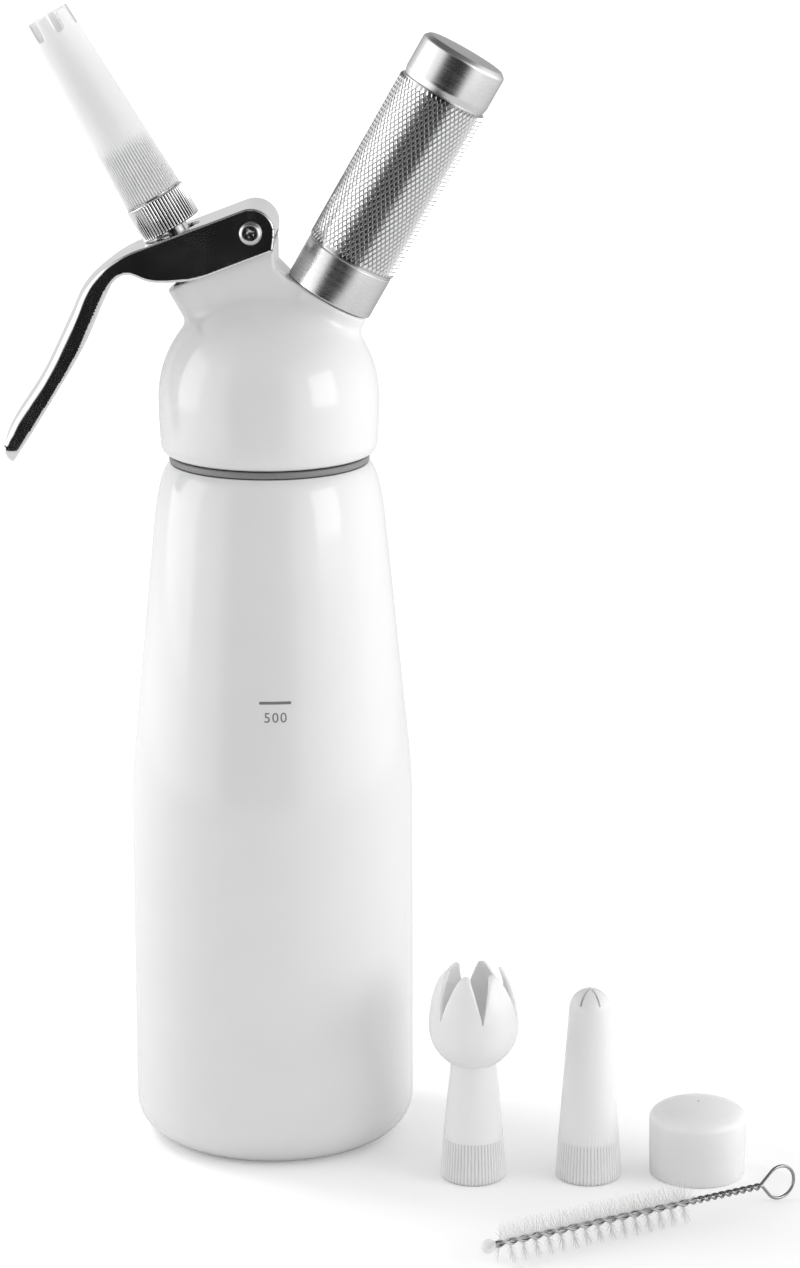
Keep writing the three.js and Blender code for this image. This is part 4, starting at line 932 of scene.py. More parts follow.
class GrowthTrees:
    """Geometry trees for what repeats on a piece or follows a path, each made once."""

    def __init__(self) -> None:
        """Build the trees."""
        self.ribs = self._ribs()
        self.studs = self._studs()
        self.wire = self._wire()

    def _ribs(self) -> bpy.types.NodeTree:
        """Straight ribs round Z, cut into the outside of a wall between two heights."""
        inputs = {
            "Geometry": (GEOMETRY, None), "Count": (WHOLE, 60), "Depth": (FLOAT, 0.2),
            "Bottom": (FLOAT, 0.0), "Top": (FLOAT, 10.0), "Run Out": (FLOAT, 1.0),
            "Inner Radius": (FLOAT, 5.0), "Sharpness": (FLOAT, 1.0), "Material": (MATERIAL, None),
        }
        graph, given, result = new_group("straight ribs", "GeometryNodeTree", inputs, {"Geometry": GEOMETRY})
        axes = graph.parts(graph.node("GeometryNodeInputPosition").outputs[0])
        angle = graph.math("ARCTAN2", axes[1], axes[0])
        squares = [graph.math("POWER", axes[k], 2.0) for k in (0, 1)]
        radius = graph.math("SQRT", graph.math("ADD", *squares))
        wave = graph.math("COSINE", graph.math("MULTIPLY", angle, given["Count"]))
        swell = graph.math("SUBTRACT", 0.5, graph.math("MULTIPLY", wave, 0.5))
        valley = graph.math("POWER", swell, given["Sharpness"])
        rise = graph.math("DIVIDE", graph.math("SUBTRACT", axes[2], given["Bottom"]), given["Run Out"])
        fall = graph.math("DIVIDE", graph.math("SUBTRACT", given["Top"], axes[2]), given["Run Out"])
        ends = graph.math("MAXIMUM", graph.math("MINIMUM", graph.math("MINIMUM", rise, fall), 1.0), 0.0)
        outside = graph.math("GREATER_THAN", radius, given["Inner Radius"])
        inward = graph.product(valley, ends, outside, given["Depth"], -1.0)
        flat = graph.vector("NORMALIZE", graph.joined(axes[0], axes[1], 0.0))
        offset = graph.node("ShaderNodeVectorMath", {0: flat, "Scale": inward}, operation="SCALE").outputs[0]
        moved = graph.node("GeometryNodeSetPosition", {"Geometry": given["Geometry"], "Offset": offset})
        self._finish(graph, moved.outputs[0], given, result)
        return graph.tree

    def _studs(self) -> bpy.types.NodeTree:
        """One small shape repeated in rows round Z, each row turned on from the one below."""
        inputs = {
            "Geometry": (GEOMETRY, None), "Stud": (OBJECT, None), "Columns": (WHOLE, 40),
            "Rows": (WHOLE, 20), "Radius": (FLOAT, 10.0), "Bottom": (FLOAT, 0.0), "Row Pitch": (FLOAT, 1.0),
            "Row Turn": (FLOAT, 0.1), "Lean": (FLOAT, 0.0), "Shortest": (FLOAT, 1.0),
            "Seed": (WHOLE, 7), "Material": (MATERIAL, None),
        }
        graph, given, result = new_group("rows of studs", "GeometryNodeTree", inputs, {"Geometry": GEOMETRY})
        index = graph.node("GeometryNodeInputIndex").outputs[0]
        row = graph.math("FLOOR", graph.math("DIVIDE", graph.math("ADD", index, 0.5), given["Columns"]))
        column = graph.math("SUBTRACT", index, graph.math("MULTIPLY", row, given["Columns"]))
        round_it = graph.math("DIVIDE", graph.math("MULTIPLY", column, FULL_TURN), given["Columns"])
        angle = graph.math("ADD", round_it, graph.math("MULTIPLY", row, given["Row Turn"]))
        height = graph.math("ADD", given["Bottom"], graph.math("MULTIPLY", row, given["Row Pitch"]))
        x = graph.math("MULTIPLY", graph.math("COSINE", angle), given["Radius"])
        y = graph.math("MULTIPLY", graph.math("SINE", angle), given["Radius"])
        place = graph.joined(x, y, height)
        count = graph.math("MULTIPLY", given["Rows"], given["Columns"])
        dots = graph.node("GeometryNodePoints", {"Count": count, "Position": place}).outputs[0]
        back = graph.math("MULTIPLY", given["Lean"], -1.0)
        sway = self._random(graph, back, given["Lean"], given["Seed"])
        nod = self._random(graph, back, given["Lean"], graph.math("ADD", given["Seed"], 1.0))
        size = self._random(graph, given["Shortest"], 1.0, graph.math("ADD", given["Seed"], 2.0))
        turn = graph.joined(0.0, nod, graph.math("ADD", angle, sway))
        stretch = graph.joined(size, 1.0, 1.0)
        stud = graph.node("GeometryNodeObjectInfo", {"Object": given["Stud"]}).outputs["Geometry"]
        wires = {"Points": dots, "Instance": stud, "Rotation": turn, "Scale": stretch}
        placed = graph.node("GeometryNodeInstanceOnPoints", wires).outputs[0]
        both = graph.node("GeometryNodeJoinGeometry")
        graph.tree.links.new(given["Geometry"], both.inputs[0])
        graph.tree.links.new(placed, both.inputs[0])
        self._finish(graph, both.outputs[0], given, result)
        return graph.tree

    def _wire(self) -> bpy.types.NodeTree:
        """Round wire along a chain of edges."""
        inputs = {
            "Geometry": (GEOMETRY, None), "Radius": (FLOAT, 0.5), "Sides": (WHOLE, 12),
            "Material": (MATERIAL, None),
        }
        graph, given, result = new_group("round wire", "GeometryNodeTree", inputs, {"Geometry": GEOMETRY})
        line = graph.node("GeometryNodeMeshToCurve", {0: given["Geometry"]}).outputs[0]
        wires = {"Resolution": given["Sides"], "Radius": given["Radius"]}
        section = graph.node("GeometryNodeCurvePrimitiveCircle", wires)
        wires = {"Curve": line, "Profile Curve": section.outputs[0], "Fill Caps": True}
        skin = graph.node("GeometryNodeCurveToMesh", wires).outputs[0]
        smooth = graph.node("GeometryNodeSetShadeSmooth", {0: skin}).outputs[0]
        self._finish(graph, smooth, given, result)
        return graph.tree

    @staticmethod
    def _random(graph: Graph, low: Wire, high: Wire, seed: Wire) -> bpy.types.NodeSocket:
        """Seeded number between low and high for each point."""
        wires = {2: low, 3: high, 8: seed}
        return graph.node("FunctionNodeRandomValue", wires, data_type="FLOAT").outputs[1]

    @staticmethod
    def _finish(graph: Graph, shape: bpy.types.NodeSocket, given: object, result: object) -> None:
        """End a tree with real geometry in the given material."""
        real = graph.node("GeometryNodeRealizeInstances", {0: shape}).outputs[0]
        dressed = graph.node("GeometryNodeSetMaterial", {"Geometry": real, "Material": given["Material"]})
        graph.tree.links.new(dressed.outputs[0], result["Geometry"])


GROWTH = GrowthTrees()


@dataclass(frozen=True)
class Ribs:
    """Straight ribs cut round the outside of a piece.

    Attributes:
        count: number of ribs.
        depth: depth of the valleys between them.
        bottom, top: heights between which they run.
        run_out: height over which they fade at both ends.
        inner: radius beyond which only the outside lies.
        sharpness: how narrow the valleys are.
    """

    count: int
    depth: float
    bottom: float
    top: float
    run_out: float
    inner: float
    sharpness: float = 1.0

    def cut(self, thing: bpy.types.Object) -> None:
        """Cut the ribs into a piece and shade it."""
        values = {
            "Count": self.count, "Depth": self.depth, "Bottom": self.bottom, "Top": self.top,
            "Run Out": self.run_out, "Inner Radius": self.inner, "Sharpness": self.sharpness,
            "Material": thing.data.materials[0],
        }
        with_tree(thing, GROWTH.ribs, values)
        shade(thing.data, Smoothing.RIBBED)


def install(thing: bpy.types.Object, place: Placement, body: str, slot: str, *nodes: str) -> bpy.types.Object:
    """Put a finished piece in its place and tie it to the model.

    Args:
        thing: the piece, in millimetres on its own axes.
        place: where its axis stands.
        body: the body that it moves with.
        slot: the record's material slot; not used.
        *nodes: the model's nodes that it stands for.

    Returns:
        The piece.
    """
    thing.data.transform(place.matrix())
    thing.data.update()
    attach(thing, body)
    if nodes:
        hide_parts(*nodes)
    triangles = sum(len(face.vertices) - 2 for face in thing.data.polygons)
    LOG.info("%s rides on %s, %d triangles", thing.name, body, triangles)
    return thing


def lathe_piece(
    name: str, profile: Sequence[Corner], finish: Finish, place: Placement, body: str, *nodes: str,
    segments: int = 96,
) -> bpy.types.Object:
    """Build, dress and install a plain turned piece.

    Args:
        name: name of the piece.
        profile: corners of its outline.
        finish: its finish.
        place: where its axis stands.
        body: the body that it moves with.
        *nodes: the model's nodes that it stands for.
        segments: faces round its axis.

    Returns:
        The piece.
    """
    shell = turned(outline(profile), segments)
    thing = mesh_object(name, shell, finish.material(place))
    return install(thing, place, body, finish.slot, *nodes)


@dataclass
class Bottle:
    """Enamelled bottle with its threaded neck, fill mark and the gasket on its ledge."""

    radius: float = 38.0
    wall: float = 1.5
    floor: float = 2.5
    base_rounding: float = 10.0
    body_height: float = 100.0
    body_rounding: float = 9.0
    taper_top: float = 170.7
    taper_radius: float = 30.8
    shoulder_control: tuple[float, float] = (29.4, 184.46)
    ledge: float = 186.7
    ledge_radius: float = 26.4
    neck_radius: float = 22.8
    neck_bore: float = 20.2
    neck_top: float = 201.2
    bore_drop: float = 3.0
    gasket_bottom: float = 187.0
    gasket_top: float = 188.7
    gasket_bore: float = 24.3
    gasket_radius: float = 26.6
    mark_height: float = 129.3
    mark_azimuth: float = 4.9
    mark_width: float = 8.3
    mark_thickness: float = 0.75
    mark_rise: float = 0.04
    number_height: float = 2.6
    number_drop: float = 4.75
    number_depth: float = 0.1

    def profile(self) -> list[Corner]:
        """Outline of the bottle, outside and inside, from the axis back to the axis."""
        wall, bore_end = self.wall, self.ledge - self.bore_drop
        taper_end = (self.taper_radius, self.taper_top)
        shoulder = drawn_curve(taper_end, self.shoulder_control, (self.ledge_radius, self.ledge), 14)
        inside = drawn_curve(
            (self.neck_bore, bore_end), (self.shoulder_control[0] - wall, bore_end),
            (self.taper_radius - wall, self.taper_top), 10,
        )
        lower = outline([
            (0, 0), (self.radius, 0, self.base_rounding),
            (self.radius, self.body_height, self.body_rounding), taper_end,
        ], 10)
        neck = outline([
            (self.ledge_radius, self.ledge), (self.neck_radius, self.ledge, 0.5),
            (self.neck_radius, self.neck_top, 0.7), (self.neck_bore, self.neck_top, 0.7),
            (self.neck_bore, bore_end),
        ])
        inner = outline([
            (self.taper_radius - wall, self.taper_top),
            (self.radius - wall, self.body_height, self.body_rounding),
            (self.radius - wall, self.floor, self.base_rounding - wall), (0, self.floor),
        ], 8)
        return lower + shoulder[1:] + neck[1:] + inside[1:] + inner[1:]

    def wall_radius(self, height: float) -> float:
        """Outer radius of the tapered wall at a height."""
        share = (height - self.body_height) / (self.taper_top - self.body_height)
        return self.radius + share * (self.taper_radius - self.radius)

    def wrap(self, thing: bpy.types.Object) -> None:
        """Lay a flat drawing (X along the wall, Y up, Z outward) round the tapered wall."""
        centre = math.radians(self.mark_azimuth - 90)
        for vertex in thing.data.vertices:
            across, up, out = vertex.co
            height = self.mark_height + up
            base = self.wall_radius(height)
            angle = centre + across / base
            vertex.co = ((base + out) * math.cos(angle), (base + out) * math.sin(angle), height)

    def mark(self) -> None:
        """Fill line with a plain number under it, each as a thin printed layer."""
        steps, sunk = 24, -0.2
        half, thick = self.mark_width / 2, self.mark_thickness / 2
        section = [(-thick, sunk), (thick, sunk), (thick, self.mark_rise), (-thick, self.mark_rise)]
        points = [(half * (2 * i / steps - 1), y, z) for i in range(steps + 1) for y, z in section]
        faces = [(0, 1, 2, 3), tuple(4 * steps + k for k in (3, 2, 1, 0))]
        faces += [
            (4 * i + k, 4 * i + 4 + k, 4 * i + 4 + (k + 1) % 4, 4 * i + (k + 1) % 4)
            for i in range(steps) for k in range(4)
        ]
        shell = Shell(np.array(points, float), faces).outward()
        line = mesh_object("fill_line", shell, GREY_INK.material())
        self.wrap(line)
        install(line, UPRIGHT, "bottle", GREY_INK.slot)
        self.number()

    def number(self) -> None:
        """Plain number under the fill line."""
        text = bpy.data.curves.new("fill_number", "FONT")
        text.body = "500"
        text.align_x, text.align_y = "CENTER", "TOP"
        text.size = self.number_height / 0.7
        text.space_character = 1.15
        text.extrude = self.number_depth
        text.resolution_u = 4
        flat = linked("fill_number", text)
        number = linked("fill_number_print", evaluated(flat))
        bpy.data.objects.remove(flat)
        number.data.materials.clear()
        number.data.materials.append(GREY_INK.material())
        up, out = -self.number_drop + self.number_height, self.mark_rise - self.number_depth
        number.data.transform(Matrix.Translation((0, up, out)))
        self.wrap(number)
        install(number, UPRIGHT, "bottle", GREY_INK.slot)

    def build(self) -> None:
        """Build the bottle, its mark and the gasket."""
        ridge = thread(
            self.neck_radius, depth=1.2, pitch=4.0, turns=1.5, width=1.8, start=self.ledge + 3.2,
        )
        shell = turned(self.profile(), 192).joined(ridge)
        body = mesh_object("bottle_shell", shell, WHITE_ENAMEL.material())
        install(body, UPRIGHT, "bottle", WHITE_ENAMEL.slot, "bottle")
        self.mark()
        low, high = self.gasket_bottom, self.gasket_top
        bore, rim = self.gasket_bore, self.gasket_radius
        ring = [
            (bore + 0.3, low), (rim, low, 0.45), (rim, high, 0.45), (bore, high, 0.3), (bore, low, 0.3),
        ]
        lathe_piece(
            "gasket_seal", ring, GREY_SILICONE, UPRIGHT, "gasket_ring", "head_gasket", segments=160,
        )


@dataclass
class Head:
    """Cast head: a dome over the neck, with the nozzle boss, the hinge pylon and the charger boss.

    Heights of the two bosses and their bores are measured along their own axes.
    """

    bottom: float = 189.0
    skirt_radius: float = 28.5
    skirt_rounding: float = 3.2
    dome_radius: float = 29.2
    dome_centre: float = 204.0
    socket_radius: float = 24.4
    socket_top: float = 201.5
    chamber_radius: float = 19.0
    chamber_centre: float = 202.5
    block_half: float = 9.25
    boss_radius: float = 9.4
    boss_top: float = 36.5
    valve_seat: float = 18.0
    valve_bore: float = 5.2
    seat_pocket: float = 8.0
    spring_pocket: float = 7.4
    spring_floor: float = 31.5
    charger_boss: float = 11.7
    charger_top: float = 32.2
    pivot: tuple[float, float] = HINGE_AXIS.origin[::2]
    pylon_radius: float = 4.2
    pylon_back: float = 6.2
    pylon_drop: float = 3.3
    pivot_hole: float = 3.0
    arm_start: float = 10.0
    block_start: float = 18.0
    bore_start: float = 8.0
    gas_bore: float = 5.0
    gas_start: float = 24.0
    passage: float = 1.8
    spigot_radius: float = 9.3
    spigot_top: float = 43.2
    blend: float = 2.4
    edge: float = 1.3
    boss_edge: float = 0.8
    charger_edge: float = 0.9
    block_blend: float = 0.6
    arm_blend: float = 0.8
    socket_edge: float = 0.6
    chamber_blend: float = 0.8
    opening_edge: float = 0.5
    cell: float = 0.55
    quick_cell: float = 1.0
    space: tuple[Corner, Corner] = ((-31, -31, 187.5), (31, 31, 255))

    def block(self) -> np.ndarray:
        """Corners of the flat-sided block, in the plane of the two axes."""
        valve, charger = VALVE_AXIS.direction(), CHARGER_AXIS.direction()
        aside = np.array([charger[1], -charger[0]])
        start, root = VALVE_AXIS.foot(), CHARGER_AXIS.foot()
        boss = start + valve * self.boss_top
        px, pz = self.pivot
        front = px - self.pylon_radius
        slant = math.tan(math.radians(-VALVE_AXIS.tilt))
        corner = root + charger * self.charger_top - aside * self.charger_boss
        top = [
            (px - self.pylon_radius * math.cos(a), pz + self.pylon_radius * math.sin(a))
            for a in np.linspace(0, math.pi, 25)
        ]
        back = pz - self.pylon_drop
        return np.array([
            start + valve * self.arm_start, boss, (front, boss[1] + (front - boss[0]) * slant), *top,
            (px + self.pylon_radius, back), (px + self.pylon_back, back),
            (px + self.pylon_back, corner[1] + self.pylon_drop), corner,
            root + charger * self.charger_top, root + charger * self.block_start,
        ])

    def distance(self, points: np.ndarray) -> np.ndarray:
        """Signed distance to the casting's surface."""
        x, y, z = points.T
        radius = np.hypot(x, y)
        below = np.clip((self.dome_centre - z) / (self.dome_centre - self.bottom), 0, 1)
        flare = self.dome_radius + (self.skirt_radius - self.dome_radius) * below**2
        ball = np.sqrt(radius**2 + (z - self.dome_centre) ** 2) - self.dome_radius
        shell = np.where(z > self.dome_centre, ball, radius - flare)
        shell = soft_max(shell, self.bottom - z, self.skirt_rounding)
        flat, _ = polygon_distance(np.stack([x, z], axis=1), self._block)
        block = soft_max(flat, np.abs(y) - self.block_half, self.edge)
        (off_v, up_v), (off_c, up_c) = VALVE_AXIS.local(points), CHARGER_AXIS.local(points)
        off_v, off_c = np.hypot(off_v, y), np.hypot(off_c, y)
        boss = soft_max(off_v - self.boss_radius, up_v - self.boss_top, self.boss_edge)
        boss = soft_max(boss, self.arm_start - up_v, self.boss_edge)
        seat = soft_max(off_c - self.charger_boss, up_c - self.charger_top, self.charger_edge)
        seat = soft_max(seat, self.arm_start - up_c, self.boss_edge)
        arms = soft_min(soft_min(block, boss, self.block_blend), seat, self.arm_blend)
        solid = soft_min(shell, arms, self.blend)
        socket = soft_max(radius - self.socket_radius, z - self.socket_top, self.socket_edge)
        chamber = np.sqrt(radius**2 + (z - self.chamber_centre) ** 2) - self.chamber_radius
        pocket = np.maximum(np.maximum(off_v - self.seat_pocket, up_v - self.valve_seat), -up_v)
        bore = np.maximum(off_v - self.valve_bore, self.bore_start - up_v)
        spring = np.maximum(off_v - self.spring_pocket, self.spring_floor - up_v)
        gas = np.maximum(off_c - self.gas_bore, self.gas_start - up_c)
        passage = np.maximum(off_c - self.passage, self.arm_start - up_c)
        hinge = np.hypot(x - self.pivot[0], z - self.pivot[1]) - self.pivot_hole
        hollow = soft_min(socket, chamber, self.chamber_blend)
        for tool in (pocket, bore, spring, gas, passage, hinge):
            hollow = np.minimum(hollow, tool)
        return soft_max(solid, -hollow, self.opening_edge)

    def build(self) -> None:
        """Build the casting and its bare threaded spigot."""
        self._block = self.block()
        shell = field_shell(self.distance, *self.space, self.cell)
        cast = mesh_object("head_casting", shell, WHITE_ENAMEL.material(), Smoothing.ROUND)
        install(cast, UPRIGHT, "dispensing_head", WHITE_ENAMEL.slot, "head")
        bore, outside, top = self.gas_bore, self.spigot_radius, self.spigot_top
        profile = [(bore, 26.2), (outside, 30.5), (outside, top, 0.6), (bore, top, 0.5), (bore, 33.0)]
        ridge = thread(outside, depth=0.8, pitch=2.0, turns=4.4, width=1.0, start=33.8)
        spigot = turned(outline(profile), 96).joined(ridge)
        thing = mesh_object("charger_spigot", spigot, SATIN_ALUMINIUM.material(CHARGER_AXIS))
        install(thing, CHARGER_AXIS, "dispensing_head", SATIN_ALUMINIUM.slot, "head")


@dataclass
class Hinge:
    """Screw, sleeve and nut of the lever's hinge."""

    face: float = 11.55
    head_radius: float = 3.0
    head_height: float = 1.9
    crown_start: float = 0.7
    cross_width: float = 0.85
    cross_length: float = 3.7
    cross_depth: float = 1.2
    cross_turn: float = 24.0
    pin_radius: float = 1.95
    nut_radius: float = 3.6
    nut_height: float = 2.6
    nut_face: float = 11.4
    nut_bore: float = 2.1
    sleeve_radius: float = 2.85
    sleeve_half: float = 9.25

    def build(self) -> None:
        """Build the screw with its cross recess, the sleeve and the nut with its six flats."""
        self.screw()
        self.nut()
        bore, rim, half = self.nut_bore, self.sleeve_radius, self.sleeve_half
        sleeve = [(bore, -half), (rim, -half, 0.2), (rim, half, 0.2), (bore, half)]
        lathe_piece(
            "hinge_sleeve", sleeve, PLAIN_STEEL, HINGE_AXIS, "dispensing_head", "pivot_sleeve", segments=48,
        )

    def screw(self) -> None:
        """Screw with a domed head and a cross recess."""
        face, top, rim = self.face, self.face + self.head_height, self.head_radius
        tail, back = -self.nut_face - self.nut_height / 2, face - 0.02
        crown = drawn_curve((rim, face + self.crown_start), (rim * 0.95, top), (rim * 0.5, top), 8)
        profile = outline([
            (0, tail), (self.pin_radius, tail, 0.3), (self.pin_radius, back), (rim - 0.15, back, 0.15),
            (rim, face + self.crown_start),
        ]) + crown[1:] + [(0, top)]
        screw = mesh_object("hinge_screw", turned(profile, 64), PLAIN_STEEL.material(HINGE_AXIS))
        width, length, deep = self.cross_width, self.cross_length, 2 * self.cross_depth
        middle = turned([(0, top - 1.5), (0.9, top - 1.1), (1.15, top + 1), (0, top + 1)], 24)
        tools = [box_shell((width, length, deep), top), box_shell((length, width, deep), top), middle]
        carved(screw, [tool.spun(math.radians(self.cross_turn)) for tool in tools])
        shade(screw.data, Smoothing.CRISP)
        install(screw, HINGE_AXIS, "dispensing_head", PLAIN_STEEL.slot, "pivot_screw")

    def nut(self) -> None:
        """Nut with six flats and bevelled corners."""
        low, high = -self.nut_face - self.nut_height, -self.nut_face
        radius, bore = self.nut_radius, self.nut_bore
        prism = turned([(0, low), (radius, low), (radius, high), (0, high)], 6)
        nut = mesh_object("hinge_nut", prism, PLAIN_STEEL.material(HINGE_AXIS))
        rim, flat = radius * 1.01, radius * 0.86
        dome = [(0, low), (flat, low), (rim, low + 0.55), (rim, high - 0.3), (flat, high), (0, high)]
        carved(nut, [turned(dome, 72)], "INTERSECT")
        carved(nut, [turned([(0, low + 0.6), (bore, low + 0.6), (bore, 0), (0, 0)], 48)])
        shade(nut.data, Smoothing.CRISP)
        install(nut, HINGE_AXIS, "dispensing_head", PLAIN_STEEL.slot, "pivot_nut")


@dataclass
class Lever:
    """Polished fork lever whose handle runs down beside the bottle.

    The shares are corners of its side view, as parts of the reach and the drop from the pivot.
    """

    pivot: tuple[float, float] = HINGE_AXIS.origin[::2]
    end_radius: float = 6.3
    plate: float = 1.7
    web: float = 1.8
    slope: float = 21.0
    reach: float = 66.1
    drop: float = 62.3
    handle_half: float = 8.0
    fork_half: float = 9.7
    fork_length: float = 33.0
    neck_length: float = 15.0
    taper_length: float = 33.0
    tip_rounding: float = 6.0
    pusher_height: float = 46.171
    pusher_radius: float = 1.5
    slot_half: float = 5.55
    end_wall_drop: float = 1.0
    heel: Corner = (5.75, -4.95)
    heel_angle: float = -8.0
    outer_edge: float = 1.5
    inner_edge: float = 0.7
    edge_fade: tuple[float, float] = (3.0, 5.0)
    crown: float = 0.9
    end_inset: float = 0.8
    pivot_hole: float = 2.1
    pocket_edge: float = 0.6
    opening_edge: float = 0.35
    slot_reach: float = 4.5
    heel_floor: float = -2.0
    square_ends: int = 12
    cell: float = 0.42
    quick_cell: float = 0.8
    space: tuple[Corner, Corner] = ((-71, -12.5, 185.5), (4.2, 12.5, 256.5))
    outer_shares: list[Corner] = field(default_factory=lambda: [
        (-0.475, -0.084), (-0.586, -0.148), (-0.672, -0.238), (-0.732, -0.37),
        (-0.84, -0.605), (-0.965, -0.812), (-1.0, -0.918), (-0.971, -1.0),
    ])
    inner_shares: list[Corner] = field(default_factory=lambda: [
        (-0.842, -0.79), (-0.7, -0.54), (-0.614, -0.34), (-0.555, -0.222),
        (-0.49, -0.178), (-0.393, -0.209), (-0.254, -0.205), (-0.172, -0.185),
    ])

    def _spline(self, points: Sequence[np.ndarray], steps: int = 10) -> list[np.ndarray]:
        """Points of a smooth line through the given ones."""
        found = []
        last = len(points) - 1
        for k in range(last):
            p = [points[max(k - 1, 0)], points[k], points[k + 1], points[min(k + 2, last)]]
            a, b = (p[2] - p[0]) / 2, (p[3] - p[1]) / 2
            for t in np.arange(steps) / steps:
                cubic = 2 * p[1] - 2 * p[2] + a + b
                square = -3 * p[1] + 3 * p[2] - 2 * a - b
                found.append(cubic * t**3 + square * t**2 + a * t + p[1])
        return found + [points[last]]

    def side_outline(self) -> tuple[np.ndarray, int, int]:
        """Corners of the lever's side view, and the first and last of those on its outer edge."""
        centre = np.array(self.pivot)
        scale = np.array([self.reach, self.drop])
        start, end = math.radians(self.heel_angle), math.radians(90 + self.slope)
        arc = [
            centre + self.end_radius * np.array([math.cos(a), math.sin(a)])
            for a in np.linspace(start, end, 28)
        ]
        outer = [centre + np.array(share) * scale for share in self.outer_shares]
        inner = [centre + np.array(share) * scale for share in self.inner_shares]
        edge = self._spline(outer)
        under = self._spline([outer[-1], *inner])
        corners = np.array([*arc, *edge, *under[1:], centre + np.array(self.heel)])
        return corners, self.square_ends, len(arc) + len(edge) - self.square_ends

    def distance(self, points: np.ndarray) -> np.ndarray:
        """Signed distance to the lever's surface."""
        x, y, z = points.T
        px, pz = self.pivot
        side = np.abs(y)
        flat, nearest = polygon_distance(np.stack([x, z], axis=1), self._corners)
        outside = (nearest >= self._first) & (nearest <= self._last)
        share = np.clip((px - self.fork_length - x) / self.neck_length, 0, 1)
        share = share * share * (3 - 2 * share)
        taper = np.clip((px - self.fork_length - x) / self.taper_length, 0, 1)
        half = self.fork_half + self.plate + (self.handle_half - self.fork_half - self.plate) * taper
        fade_start, fade_length = self.edge_fade
        share = share * np.clip((z - pz + self.drop - fade_start) / fade_length, 0, 1)
        edge = self.inner_edge + (self.outer_edge - self.inner_edge) * share
        edge = np.where(outside, edge, self.inner_edge)
        crown = np.where(outside, self.crown * share * (side / self.handle_half) ** 2, 0.0)
        solid = soft_max(flat + crown, side - half, edge)
        tip = pz - self.drop + self.tip_rounding
        inset = half - self.tip_rounding + self.end_inset
        end = np.hypot(np.maximum(side - inset, 0), np.minimum(z - tip, 0)) - self.tip_rounding
        solid = soft_max(solid, end, 0.5)
        lean = math.radians(self.slope)
        under = self.end_radius - self.web
        across, up = x - px, z - pz
        roof = up * math.cos(lean) - across * math.sin(lean) - under
        round_end = np.hypot(across, up) - under
        covered = across * math.cos(lean) + up * math.sin(lean) > 0
        roof = np.where(covered & (up > -self.end_wall_drop), round_end, roof)
        low = np.maximum(up + self.end_wall_drop, roof)
        heel = np.minimum(np.maximum(round_end, self.heel_floor - up), low)
        space = np.where(covered, heel, roof)
        space = np.maximum(space, px - self.fork_length - x)
        space = soft_max(space, side - self.fork_half, self.pocket_edge)
        off, along = VALVE_AXIS.local(points)
        slot = np.hypot(np.maximum(np.abs(off) - self.slot_half / 4, 0), y) - self.slot_half
        slot = np.maximum(slot, np.abs(along - self.pusher_height) - self.slot_reach)
        hole = np.hypot(across, up) - self.pivot_hole
        solid = soft_max(solid, -np.minimum(space, slot), self.opening_edge)
        pin = np.hypot(off, along - self.pusher_height) - self.pusher_radius
        pin = np.maximum(pin, np.maximum(self.slot_half - side, side - self.fork_half - 0.5))
        return np.maximum(np.minimum(solid, pin), -hole)

    def build(self) -> None:
        """Build the lever."""
        self._corners, self._first, self._last = self.side_outline()
        shell = field_shell(self.distance, *self.space, self.cell)
        thing = mesh_object("hand_lever_arm", shell, POLISHED_STEEL.material())
        install(thing, UPRIGHT, "hand_lever", POLISHED_STEEL.slot, "lever")


